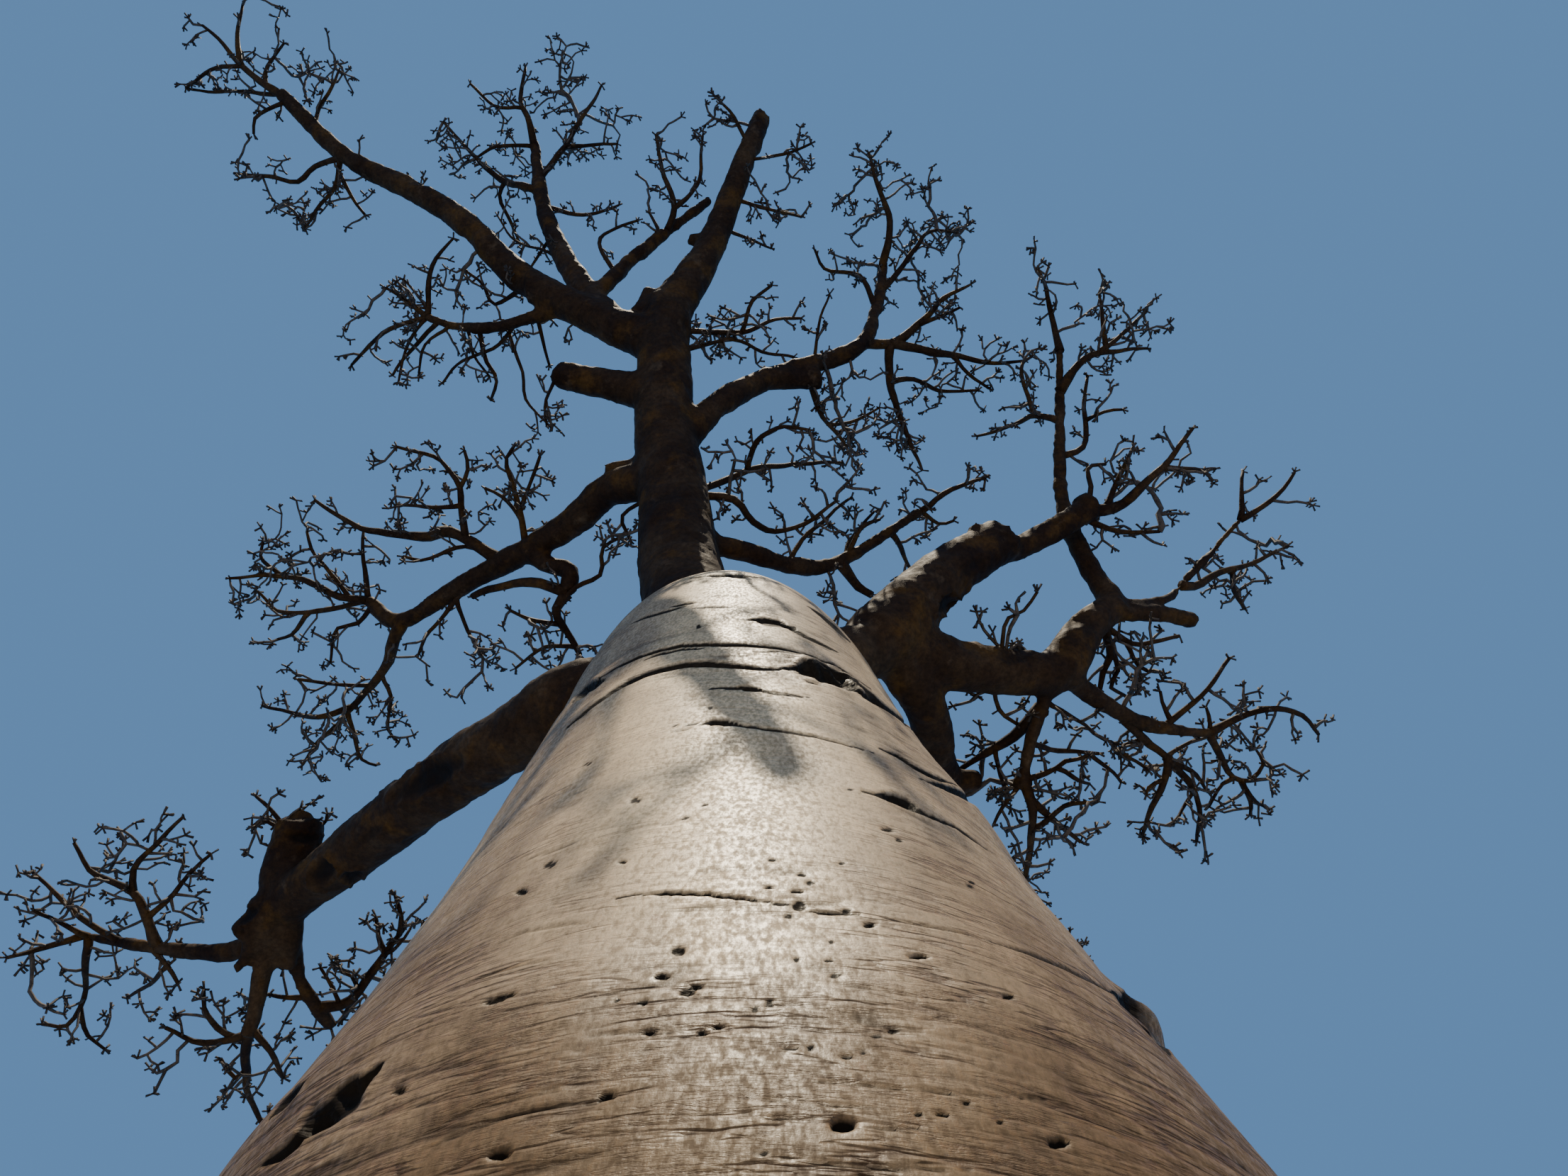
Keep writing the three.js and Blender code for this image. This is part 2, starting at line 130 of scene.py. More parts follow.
# Knobs, burrs and short dead stubs on the limbs: carrier, where along it, radius at foot and tip,
# and one reach from the middle of the carrier
KNOBS = (
    ("leader", 1.00, (0.120, 0.070), (-80, 45, 0.22)),
    ("leader", 0.50, (0.045, 0.035), (170, 10, 0.42)),
    ("dead_snag", 0.35, (0.050, 0.040), (-170, 10, 0.17)),
    ("bough_north_west", 0.10, (0.065, 0.050), (-60, 40, 0.40)),
    ("bough_north_west", 0.40, (0.060, 0.040), (60, 10, 0.13)),
    ("bough_north_west", 0.52, (0.060, 0.035), (20, 60, 0.14)),
    ("bough_east", 0.40, (0.088, 0.094), (2, 24, 0.36)),
    ("bough_far_east", 0.74, (0.090, 0.060), (-120, 30, 0.13)),
    ("bough_far_east", 0.88, (0.060, 0.040), (-100, 50, 0.17)),
    ("bough_far_west", 1.00, (0.110, 0.090), (163, -14, 0.19)),
    ("bough_far_west", 1.00, (0.120, 0.080), (149, -18, 0.29)),
    ("bough_far_west", 1.00, (0.100, 0.032), (129, -22, 0.44)),
    ("bough_far_west", 1.00, (0.110, 0.080), (96, -14, 0.26)),
    ("bough_far_west", 1.00, (0.060, 0.045), (92, -13, 0.36)),
    ("stub_upright", 0.90, (0.085, 0.060), (10, 10, 0.10)),
    ("stub_upright", 0.92, (0.070, 0.050), (-170, 20, 0.09)),
    ("stub_upright", 1.00, (0.060, 0.050), (-60, 30, 0.06)),
    ("bough_far_west", 0.89, (0.085, 0.050), (-80, 20, 0.16)),
    ("bough_far_west", 0.64, (0.080, 0.060), (-60, 30, 0.12)),
    ("limb_south", 1.00, (0.050, 0.045), (100, 0, 0.05)),
    ("stub_north_east", 0.60, (0.120, 0.090), (60, -20, 0.12)),
    ("stub_north_east", 0.88, (0.070, 0.040), (-120, 20, 0.15)),
    ("limb_north_east", 0.90, (0.060, 0.040), (80, 60, 0.10)),
    ("limb_north_east", 0.97, (0.095, 0.080), (-30, 40, 0.06)),
    ("bough_back_east", 0.50, (0.070, 0.050), (0, 10, 0.20)),
    ("bough_back_west", 0.55, (0.090, 0.060), (180, 10, 0.24)),
)

# Girths of arms, from the thinnest up: radius at foot and tip
WISP = (0.014, 0.008)
SLENDER = (0.016, 0.009)
FINE = (0.016, 0.010)
THIN = (0.018, 0.010)
SLIM = (0.020, 0.010)
LIGHT = (0.022, 0.010)
MIDDLING = (0.026, 0.010)

# Arms, the thin boughs that run out through the masses, by the limb that carries them: their
# girth, then the pixels of the photograph where the camera sees the arm from foot to tip
ARMS = {
    "bough_north_west": (
        (MIDDLING, (478, 232), (445, 236), (420, 256), (380, 250), (330, 246)),
        (SLIM, (485, 238), (473, 265), (450, 292), (430, 322)),
        (THIN, (484, 245), (500, 285), (515, 305)),
        ((0.034, 0.010), (395, 140), (345, 95), (305, 52), (285, 35)),
        ((0.024, 0.010), (345, 90), (335, 50), (342, 8)),
        (THIN, (345, 92), (300, 98), (265, 125)),
        (SLIM, (390, 140), (350, 130), (300, 130), (272, 128)),
        (THIN, (398, 152), (362, 165), (357, 190)),
        (THIN, (440, 178), (450, 150), (463, 130), (478, 100)),
        (THIN, (375, 120), (377, 95), (402, 62)),
        ((0.014, 0.009), (600, 280), (585, 262), (575, 250)),
        (SLIM, (745, 400), (700, 430), (680, 400), (655, 380)),
    ),
    "bough_north": (
        ((0.032, 0.010), (757, 275), (735, 262), (700, 250), (655, 205), (625, 172)),
        ((0.032, 0.011), (752, 205), (745, 170), (735, 140), (742, 95)),
        ((0.028, 0.010), (765, 258), (795, 207), (822, 165), (850, 120)),
        (LIGHT, (768, 290), (800, 300), (840, 303), (872, 288)),
        (SLIM, (795, 207), (830, 205), (870, 203)),
        (THIN, (715, 255), (705, 280), (720, 310), (735, 345)),
        (THIN, (752, 205), (705, 205), (665, 225)),
        (FINE, (738, 150), (700, 150), (665, 120)),
        (WISP, (803, 380), (769, 354), (728, 340), (700, 305)),
        (WISP, (770, 340), (752, 372), (740, 392)),
    ),
    "bough_north_east": (
        ((0.028, 0.010), (940, 325), (950, 290), (935, 240), (925, 190)),
        (SLIM, (952, 296), (975, 272), (988, 245), (990, 190)),
        (SLIM, (852, 372), (845, 342), (870, 322), (900, 310)),
        (THIN, (920, 345), (930, 325), (915, 300)),
    ),
    "bough_west": (
        (LIGHT, (602, 450), (605, 400), (615, 367), (640, 337)),
        (LIGHT, (600, 448), (570, 420), (545, 405)),
        (LIGHT, (602, 450), (545, 468), (510, 500), (495, 515)),
        (THIN, (615, 462), (575, 500), (555, 530)),
        (THIN, (675, 470), (685, 505), (700, 535), (692, 565)),
        (SLENDER, (735, 465), (700, 490), (650, 510), (625, 540)),
        (FINE, (765, 452), (767, 485), (775, 515)),
        (WISP, (605, 449), (577, 484), (563, 540)),
        (WISP, (631, 462), (600, 487), (592, 527)),
        (WISP, (613, 449), (588, 415), (570, 393)),
        (WISP, (717, 475), (734, 518), (743, 562), (776, 603)),
        (WISP, (655, 465), (668, 500), (690, 530)),
    ),
    "stub_west": (
        (WISP, (790, 530), (771, 565), (770, 600)),
    ),
    "dead_snag": (
        (SLENDER, (1052, 205), (1036, 165), (1005, 132)),
        (SLENDER, (1065, 232), (1108, 217), (1145, 203)),
        ((0.018, 0.009), (1052, 290), (1095, 298), (1130, 305)),
        (SLENDER, (1035, 333), (1065, 340), (1088, 350)),
    ),
    "leader": (
        (MIDDLING, (950, 468), (1040, 470), (1090, 452), (1130, 448)),
        (THIN, (1042, 470), (1060, 430), (1088, 402)),
        (THIN, (950, 500), (1030, 480), (1075, 495), (1120, 505)),
        ((0.030, 0.010), (960, 700), (1030, 702), (1060, 735), (1095, 750),
         (1140, 735), (1180, 708)),
        (MIDDLING, (960, 700), (1050, 667), (1110, 655), (1190, 652)),
        (SLIM, (1052, 668), (1067, 622), (1100, 603), (1140, 608)),
        (FINE, (930, 690), (880, 725), (888, 760)),
    ),
    "bough_east": (
        ((0.034, 0.010), (1247, 378), (1255, 330), (1250, 290), (1235, 250), (1225, 215)),
        ((0.028, 0.010), (1240, 410), (1270, 380), (1295, 345), (1315, 325), (1350, 328)),
        ((0.024, 0.010), (1232, 430), (1210, 388), (1165, 380), (1150, 352)),
        ((0.042, 0.010), (1222, 492), (1260, 485), (1300, 455), (1330, 420), (1370, 402)),
        ((0.036, 0.010), (1262, 492), (1315, 497), (1365, 505), (1405, 512), (1445, 508)),
        ((0.036, 0.010), (1258, 490), (1254, 530), (1263, 570), (1278, 605), (1300, 665)),
        (LIGHT, (1258, 540), (1290, 536), (1330, 552), (1380, 552)),
        (MIDDLING, (1140, 530), (1155, 580), (1180, 612), (1195, 635)),
        (SLENDER, (1165, 595), (1200, 597), (1240, 575)),
        (WISP, (1148, 510), (1155, 452), (1170, 415)),
        (THIN, (1345, 500), (1370, 530), (1395, 548)),
        (SLIM, (1290, 460), (1320, 450), (1355, 435)),
    ),
    "bough_south_east": (
        (LIGHT, (1300, 722), (1340, 692), (1390, 675)),
        (FINE, (1300, 722), (1325, 740), (1345, 735)),
        ((0.022, 0.011), (1250, 750), (1272, 772), (1285, 805)),
        (THIN, (1195, 785), (1215, 745), (1240, 735)),
        ((0.018, 0.008), (1113, 789), (1132, 758), (1160, 735), (1176, 719), (1200, 702)),
        ((0.016, 0.008), (1194, 792), (1198, 762), (1218, 739), (1233, 723)),
        ((0.036, 0.024), (1188, 804), (1206, 824), (1230, 840)),
    ),
    "limb_rising": (
        ((0.032, 0.010), (1500, 550), (1530, 507), (1575, 495), (1620, 490)),
        (SLIM, (1548, 502), (1590, 465), (1618, 440)),
        (MIDDLING, (1497, 495), (1485, 450), (1475, 405), (1465, 380)),
        (LIGHT, (1495, 590), (1460, 585), (1430, 600), (1378, 615)),
        (THIN, (1462, 586), (1447, 550), (1440, 515), (1455, 505)),
        (LIGHT, (1505, 645), (1530, 628), (1530, 570), (1535, 530)),
        ((0.014, 0.009), (1531, 590), (1560, 582), (1585, 578)),
        (SLIM, (1560, 498), (1555, 450), (1550, 415)),
    ),
    "limb_north_east": (
        ((0.038, 0.011), (1535, 735), (1580, 712), (1620, 675), (1650, 650), (1682, 602)),
        (THIN, (1640, 660), (1680, 664), (1715, 662)),
        (SLIM, (1520, 715), (1540, 690), (1536, 660), (1560, 655)),
        (LIGHT, (1552, 722), (1572, 690), (1588, 655), (1600, 630)),
        (LIGHT, (1528, 742), (1580, 750), (1635, 752)),
    ),
    "limb_far_east": (
        (SLIM, (1752, 732), (1750, 690), (1755, 665)),
        (SLIM, (1752, 732), (1785, 712), (1810, 690), (1825, 665)),
        ((0.028, 0.010), (1665, 828), (1690, 826), (1725, 806), (1765, 795), (1815, 770)),
        (THIN, (1740, 800), (1740, 830), (1755, 860)),
    ),
    "limb_south_east": (
        ((0.025, 0.010), (1712, 1036), (1755, 1008), (1795, 998), (1835, 1008), (1860, 1035)),
        ((0.025, 0.010), (1708, 1036), (1725, 1070), (1748, 1100), (1790, 1098)),
        ((0.030, 0.010), (1580, 1002), (1620, 1050), (1650, 1075), (1625, 1140), (1610, 1180)),
        ((0.024, 0.010), (1650, 1075), (1680, 1105), (1693, 1145), (1690, 1188)),
        (THIN, (1645, 1025), (1672, 1000), (1705, 972), (1735, 930)),
        (THIN, (1748, 1100), (1765, 1125), (1762, 1150)),
        (WISP, (1645, 1018), (1641, 995), (1637, 974)),
        (WISP, (1705, 1034), (1708, 1015), (1702, 997)),
        (WISP, (1608, 1042), (1586, 1050), (1586, 1066), (1608, 1078), (1620, 1090)),
        (WISP, (1650, 1062), (1672, 1052), (1692, 1041)),
        ((0.018, 0.008), (1655, 1075), (1682, 1087), (1705, 1117)),
        (WISP, (1678, 1100), (1682, 1118), (1671, 1138), (1661, 1162)),
        (WISP, (1640, 1095), (1622, 1108), (1616, 1122)),
        (WISP, (1746, 1094), (1722, 1110), (1707, 1137)),
        (WISP, (1755, 1100), (1768, 1128), (1781, 1137)),
        (WISP, (1768, 1099), (1783, 1080), (1772, 1057)),
    ),
    "limb_south": (
        ((0.040, 0.014), (1480, 1000), (1430, 1040), (1395, 1060), (1355, 1085)),
        (THIN, (1450, 1045), (1490, 1060), (1550, 1062)),
        (THIN, (1445, 1100), (1485, 1090), (1500, 1078), (1535, 1065)),
        ((0.028, 0.014), (1444, 1100), (1455, 1140), (1452, 1185), (1449, 1235)),
        ((0.024, 0.010), (1455, 1125), (1482, 1152), (1525, 1188)),
        (THIN, (1453, 1170), (1500, 1140), (1535, 1132)),
        (WISP, (1443, 1100), (1415, 1140), (1402, 1165)),
        (WISP, (1505, 996), (1512, 1010), (1540, 1030), (1560, 1045)),
        (WISP, (1540, 1062), (1565, 1085), (1582, 1102)),
        (WISP, (1490, 1088), (1520, 1100), (1537, 1107)),
        (WISP, (1412, 1062), (1412, 1100), (1424, 1120)),
    ),
    "elbow_east": (
        ((0.030, 0.013), (1560, 880), (1566, 920), (1556, 950), (1550, 978)),
        (SLIM, (1565, 875), (1600, 908), (1630, 905), (1662, 898)),
        (FINE, (1565, 915), (1577, 945), (1565, 970), (1592, 985)),
        (FINE, (1590, 905), (1607, 940), (1640, 948)),
    ),
    "bough_far_east": (
        ((0.014, 0.010), (1402, 950), (1408, 1000), (1435, 1022)),
        ((0.012, 0.008), (1412, 930), (1417, 880), (1442, 862), (1462, 835)),
    ),
    "bough_south_west": (
        ((0.046, 0.016), (565, 872), (556, 900), (545, 940), (495, 1000), (475, 1025)),
        (LIGHT, (495, 1000), (450, 1013), (410, 1005), (370, 995)),
        (FINE, (522, 962), (480, 965), (420, 958)),
        (SLENDER, (535, 950), (552, 985), (546, 1028), (562, 1047)),
        (THIN, (488, 1008), (500, 1040), (510, 1070), (530, 1080)),
        (SLIM, (475, 1025), (445, 1048), (425, 1080)),
        ((0.045, 0.011), (700, 785), (640, 752), (600, 757), (540, 750), (500, 742), (445, 705)),
        ((0.025, 0.010), (655, 758), (650, 712), (645, 680), (615, 648), (560, 630)),
        (FINE, (645, 685), (660, 660), (655, 635)),
        (FINE, (648, 715), (600, 716), (560, 712)),
        (MIDDLING, (742, 770), (735, 730), (725, 690), (715, 650), (728, 625)),
        (FINE, (736, 728), (745, 690), (762, 645)),
        (FINE, (736, 738), (710, 702), (685, 690)),
        ((0.030, 0.010), (520, 848), (480, 843), (440, 822), (400, 812), (325, 815)),
        (LIGHT, (520, 848), (513, 800), (512, 750)),
        (LIGHT, (520, 848), (460, 860), (400, 865), (365, 835)),
        (THIN, (432, 868), (410, 895), (385, 905)),
        (THIN, (488, 845), (460, 800), (440, 778), (432, 750)),
        ((0.018, 0.009), (528, 850), (505, 880), (475, 890), (466, 935)),
        (THIN, (400, 812), (370, 790), (372, 762)),
        (SLIM, (670, 830), (625, 870), (600, 898), (590, 920)),
        (FINE, (650, 845), (660, 890), (678, 922)),
        (THIN, (690, 785), (650, 770), (600, 790), (570, 785)),
    ),
    "stub_hook": (
        ((0.036, 0.021), (797, 838), (750, 822), (700, 828), (665, 842)),
        ((0.035, 0.016), (797, 838), (785, 862), (800, 892), (818, 925)),
        (THIN, (788, 862), (812, 830), (848, 808), (852, 772), (885, 752)),
        (THIN, (795, 885), (750, 875), (720, 862)),
        (SLENDER, (812, 912), (770, 912), (728, 942)),
    ),
    "limb_far_west": (
        ((0.030, 0.010), (225, 1330), (205, 1290), (185, 1255), (130, 1232), (105, 1190)),
        (SLIM, (188, 1258), (192, 1222), (232, 1178), (260, 1152)),
        (THIN, (210, 1298), (240, 1265), (265, 1235), (300, 1205)),
        (SLIM, (165, 1325), (120, 1298), (80, 1262), (45, 1230)),
        (LIGHT, (122, 1325), (120, 1360), (120, 1400), (95, 1447), (60, 1445)),
        (SLENDER, (118, 1425), (122, 1458), (148, 1480)),
        (THIN, (215, 1335), (235, 1360), (250, 1388)),
        (SLENDER, (236, 1362), (212, 1388), (180, 1408)),
        (LIGHT, (118, 1325), (60, 1337), (10, 1350)),
        (THIN, (122, 1320), (80, 1300), (45, 1285)),
    ),
    "limb_low_west": (
        ((0.030, 0.013), (350, 1455), (346, 1500), (352, 1545), (370, 1592)),
        ((0.024, 0.010), (350, 1455), (318, 1468), (275, 1470), (235, 1448)),
        (THIN, (335, 1462), (308, 1450), (288, 1428), (285, 1398)),
        (SLIM, (355, 1448), (380, 1480), (400, 1520)),
        (FINE, (347, 1508), (330, 1520), (310, 1495)),
    ),
    "limb_back_west": (
        ((0.034, 0.013), (455, 1415), (492, 1413), (525, 1368), (550, 1335), (572, 1305)),
        (THIN, (538, 1350), (535, 1320), (530, 1292)),
        (THIN, (560, 1325), (566, 1292), (560, 1262)),
        (SLIM, (438, 1408), (410, 1409), (380, 1406)),
        (WISP, (514, 1396), (497, 1379), (482, 1372)),
        (WISP, (480, 1411), (466, 1390), (453, 1366)),
        ((0.012, 0.008), (490, 1414), (484, 1438)),
        ((0.013, 0.008), (545, 1340), (566, 1332), (580, 1312)),
    ),
    "stub_upright": (
        (SLENDER, (395, 1175), (385, 1148), (362, 1125)),
        ((0.014, 0.009), (395, 1180), (372, 1160), (355, 1168)),
        ((0.012, 0.008), (425, 1175), (455, 1165), (460, 1148)),
    ),
}

# Rise of an arm for each metre of its run: where it leads to no mass, and the least and the most;
# and how many pixels from its end a mass's middle may be seen
ARM_RISE = 0.25
ARM_RISE_LEAST = -0.45
ARM_RISE_MOST = 1.0
MASS_VIEW = 120

# How far from a mass's middle an arm may end, as a part of its half height; how uneven an arm's
# heights are; its sway and the size of that; and the swings of its girth and the size of those
MASS_PART = 0.45
ARM_UNEVEN = 0.04
SWAY = 0.010
SWAY_SIZE = 0.16
ARM_SWING = 0.10
ARM_SWING_SIZE = 0.08

# Scars and dips seen on the boughs: the limb, the pixel of the photograph, half-length and
# half-breadth in pixels, how far it is turned from level, and its depth in metres, which also sets
# its painted shade
SCARS = (
    ("bough_far_west", (602, 1098), 50, 17, 30, 0.030),
    ("bough_far_west", (454, 1230), 17, 16, 60, 0.035),
    ("bough_far_west", (498, 1238), 13, 9, 10, 0.030),
    ("bough_far_west", (520, 1180), 30, 6, 40, 0.012),
    ("stub_north_east", (1336, 852), 14, 10, 50, 0.035),
    ("stub_north_east", (1372, 800), 20, 7, 40, 0.012),
    ("bough_far_east", (1432, 925), 24, 10, 5, 0.014),
    ("elbow_east", (1540, 885), 24, 8, 50, 0.012),
    ("stub_upright", (428, 1182), 22, 7, -8, 0.025),
    ("bough_far_west", (352, 1290), 16, 8, 40, 0.025),
    ("bough_far_west", (345, 1330), 8, 20, 20, 0.025),
)

# Limbs that end broken off
BROKEN = (
    "dead_snag", "stub_west", "stub_hook", "stub_upright", "stub_north_east", "stub_east",
    "limb_north_east",
)
BREAK_DEPTH = 0.35

# The surface of the boughs: size of its squares, a step along a limb, how much a limb swells at its
# foot, how near two limbs grow together, how often that joint is smoothed, and a piece's size
BOUGH_VOXEL = 0.018
RING_STEP = 0.04
COLLAR_RISE = 0.16
JOINT_REACH = 0.05
JOINT_ROUNDS = 10
PIECE_TRIANGLES = 190000

# Tubes: foot radius of a stout limb, corners round stout and thin limbs, knobs and arms, and a
# knob's step
STOUT_RADIUS = 0.09
STOUT_SIDES = 16
THIN_SIDES = 10
KNOB_SIDES = 10
KNOB_STEP = 0.03
ARM_SIDES = 8

# Unevenness: how long a collar is and how large a limb's swings in girth are as parts of its foot
# radius, how strong those are, a wobble's size as a part of the radius, and how wobbly each kind is
COLLAR_LENGTH = 2.6
SWING_SIZE = 2.4
SWING = 0.04
WOBBLE_SIZE = 1.3
LIMB_WOBBLE = 0.05
KNOB_WOBBLE = 0.18
ARM_WOBBLE = 0.12

# How far each round smooths the boughs' surface away from a joint, and how much more at one
SMOOTHING = 0.15
JOINT_SMOOTHING = 0.8

# The top of the trunk under the boughs: its lowest and highest ring, how far inside the bark it
# lies, its corners round, and how deep in the trunk the boughs' surface ends
CORE_BOTTOM = 5.0
CORE_TOP = 7.4
CORE_INSET = 0.02
CORE_SIDES = 64
BURIED = 0.035

# How far round a limb its distances are measured, the distance beyond that, how many corners are
# measured at once, and how far from its limb a scar may lie
LIMB_MARGIN = 0.6
FAR_OFF = 9.0
CORNERS_AT_ONCE = 20000
SCAR_REACH = 0.12

# Twigs: how far apart the ends of their stems are, one step of growth, how near a stem comes to
# its end, the radius of a stem's end, and the power of the rule that thickens it toward its foot
TIP_SPACING = 0.260
TWIG_STEP = 0.06
CATCH = 0.11
TIP_RADIUS = 0.0082
PIPE_POWER = 2.3
STEADINESS = 1.1
WANDER = 0.14
LEAST_PULL = 0.15
GROWTH_ROUNDS = 90

# Stems: how crooked, the swings of their girth, and from what radius they have more sides
STEM_BEND = 0.009
STEM_SWING = 0.08
STOUT_STEM = 0.016

# Sprays: places tried in a mass and in a small spray, spacing of the places that they may start
# from, how far those may be from the spray, and how clear of the wood its goals lie
MASS_TRIES = 2200
SPRAY_TRIES = 400
START_SPACING = 0.16
START_SLACK = 0.05
START_REACH = 0.24
CLEARANCE = 0.13

# Side twigs, twiglets and spurs: how often they come, their lengths, the thickest stem that bears
# them, how far they bend and rise, a spur's corners round, and how many spurs make a star
SIDE_TWIG_CHANCE = 0.25
ARM_TWIG_CHANCE = 0.38
SIDE_TWIG_LENGTH = (0.10, 0.26)
SIDE_TWIG_STEM = 0.030
TWIG_BEND = 0.30
TWIG_LIFT = 0.06
TWIGLET_STEP = 0.05
TWIGLET_CHANCE = 0.55
TWIGLET_LENGTH = (0.04, 0.09)
SPUR_CHANCE = 0.16
SPUR_LENGTH = 0.042
SPUR_SIDES = 3
STAR_SPURS = (3, 6)

# A direction that lies along no limb
ODD_WAY = (0.31, 0.23, 0.92)

# The masses of twigs by the limb that carries them
MASS_CARRIERS = {
    f"twigs_{place}": carrier
    for carrier, *places in (
        ("bough_north_west", "north_west_tip", "north_west_low"),
        ("bough_north", "north_left", "north_top"),
        ("bough_north_east", "north_east"),
        ("dead_snag", "snag"),
        ("bough_west", "west_tip", "west_low"),
        ("bough_south_west", "south_west_top", "south_west_middle", "south_west_tip",
         "south_west_low", "south_west_under"),
        ("stub_hook", "hook"),
        ("leader", "middle_east"),
        ("bough_east", "east_top", "east_low", "east_out"),
        ("leader", "inner_east"),
        ("bough_south_east", "south_east_top"),
        ("limb_far_west", "far_west_top", "far_west_tip"),
        ("limb_low_west", "low_west"),
        ("limb_back_west", "back_west"),
        ("limb_rising", "rising"),
        ("limb_north_east", "north_east_out"),
        ("limb_far_east", "far_east"),
        ("limb_south_east", "south_east_tip", "south_east_under"),
        ("limb_south", "south"),
        ("bough_back_east", "back_east"),
        ("bough_back_west", "back_middle"),
    )
    for place in places
}

# Small sprays between the big ones: carrier, where along it, reach to the spray's middle, and its
# half sizes along X, Y and Z
SMALL_SPRAYS = (
    ("dead_snag", 0.92, (-160, 5, 0.25), (0.20, 0.25, 0.15)),
    ("bough_north_west", 0.43, (140, -10, 0.25), (0.30, 0.25, 0.20)),
    ("bough_north_west", 0.20, (120, -15, 0.25), (0.20, 0.20, 0.15)),
    ("leader", 0.33, (175, 0, 0.30), (0.15, 0.25, 0.20)),
    ("stub_upright", 0.95, (-115, 15, 0.10), (0.25, 0.15, 0.15)),
    ("bough_east", 0.52, (75, -15, 0.45), (0.30, 0.30, 0.20)),
    ("bough_far_east", 0.80, (-85, 15, 0.30), (0.25, 0.15, 0.15)),
    ("limb_south_east", 0.29, (-65, 15, 0.30), (0.30, 0.15, 0.15)),
    ("bough_south_east", 0.69, (80, -15, 0.25), (0.30, 0.20, 0.15)),
    ("bough_back_east", 0.55, (-20, 10, 0.30), (0.30, 0.30, 0.25)),
    ("bough_back_east", 0.72, (150, 10, 0.30), (0.30, 0.30, 0.25)),
    ("bough_back_west", 0.50, (30, 10, 0.30), (0.30, 0.30, 0.25)),
    ("bough_back_west", 0.68, (-170, 10, 0.30), (0.30, 0.30, 0.25)),
)


def rng_for(name):
    """A seeded generator of random numbers for the piece of that name."""
    seed = 7
    for letter in name:
        seed = (seed * 31 + ord(letter)) % 1000003
    return np.random.default_rng(seed)


def reach_vector(reach):
    """The vector of a reach given as bearing, climb and length."""
    bearing, climb, length = math.radians(reach[0]), math.radians(reach[1]), reach[2]
    level = math.cos(climb)
    way = (level * math.cos(bearing), level * math.sin(bearing), math.sin(climb))
    return length * np.array(way)


def unit(v):
    """Vectors scaled to length one."""
    return v / np.maximum(np.linalg.norm(v, axis=-1, keepdims=True), 1e-12)


# Noise


def corner_value(ix, iy, iz, seed):
    """A number from -1 to 1 for each whole-number corner of space."""
    with np.errstate(over="ignore"):
        h = ix.astype(np.uint32) * np.uint32(0x8DA6B343)
        h ^= iy.astype(np.uint32) * np.uint32(0xD8163841)
        h ^= iz.astype(np.uint32) * np.uint32(0xCB1AB31F)
        h ^= np.uint32((seed * 0x9E3779B1) % 2**32)
        h = (h ^ (h >> np.uint32(15))) * np.uint32(0x2C1B3C6D)
        h = (h ^ (h >> np.uint32(12))) * np.uint32(0x297A2D39)
        h ^= h >> np.uint32(15)
    return h.astype(np.float64) / 2**31 - 1


def noise(points, scale, seed):
    """Smooth noise from -1 to 1 at each point; scale is its lumps' size, one or three numbers."""
    q = points / np.asarray(scale)
    base = np.floor(q).astype(np.int64)
    f = q - base
    f = f * f * f * (f * (f * 6 - 15) + 10)
    total = np.zeros(len(q))
    for corner in range(8):
        d = np.array((corner & 1, corner >> 1 & 1, corner >> 2 & 1))
        weight = np.prod(np.where(d == 1, f, 1 - f), axis=1)
        total += weight * corner_value(*(base + d).T, seed)
    return total


def rough(points, scale, seed, octaves=3):
    """Noise with finer noise on it, each octave half as large."""
    total = np.zeros(len(points))
    for k in range(octaves):
        total += noise(points, np.asarray(scale) / 2**k, seed + k) / 2**k
    return total


# Curves

# How many points stand for a smooth curve
CURVE_POINTS = 60


def curve_point(knots, t):
    """The point at fraction t of the smooth curve through the knots, and its direction."""
    spans = len(knots) - 1
    k = min(int(t * spans), spans - 1)
    w = t * spans - k
    before = knots[k - 1] if k else 2 * knots[0] - knots[1]
    after = knots[k + 2] if k + 2 <= spans else 2 * knots[-1] - knots[-2]
    a, b = knots[k], knots[k + 1]
    da, db = (b - before) / 2, (after - a) / 2
    c2 = -3 * a + 3 * b - 2 * da - db
    c3 = 2 * a - 2 * b + da + db
    return a + da * w + c2 * w * w + c3 * w**3, da + 2 * c2 * w + 3 * c3 * w * w


def centre_lines():
    """The knots of every limb's centre line by name."""
    lines = {}
    for name, carrier, foot, _, reaches in LIMBS:
        place = curve_point(lines[carrier], foot)[0] if isinstance(foot, float) else np.array(foot)
        knots = [place]
        for reach in reaches:
            knots.append(knots[-1] + reach_vector(reach))
        lines[name] = np.array(knots)
    return lines


def lengths_along(points):
    """How far along a line of points each of them lies."""
    return np.concatenate(([0], np.cumsum(np.linalg.norm(np.diff(points, axis=0), axis=1))))


def points_at(points, along, wanted):
    """The places at the wanted lengths along a line of points."""
    return np.stack([np.interp(wanted, along, column) for column in points.T], axis=1)


def curve_points(knots, count):
    """Points at even fractions of the smooth curve through the knots."""
    return np.array([curve_point(knots, t)[0] for t in np.linspace(0, 1, count)])


def walk(knots, step):
    """Points about one step apart along the smooth curve through the knots."""
    points = curve_points(knots, CURVE_POINTS)
    along = lengths_along(points)
    count = max(3, round(along[-1] / step))
    return points_at(points, along, np.linspace(0, along[-1], count + 1))


def ways_across(points):
    """Two directions across a line at each of its points, that turn as little as can be."""
    ahead = unit(np.gradient(points, axis=0))
    across = np.zeros_like(points)
    normal = np.array(ODD_WAY)
    for k, direction in enumerate(ahead):
        normal = unit(normal - normal.dot(direction) * direction)
        across[k] = normal
    return across, np.cross(ahead, across)


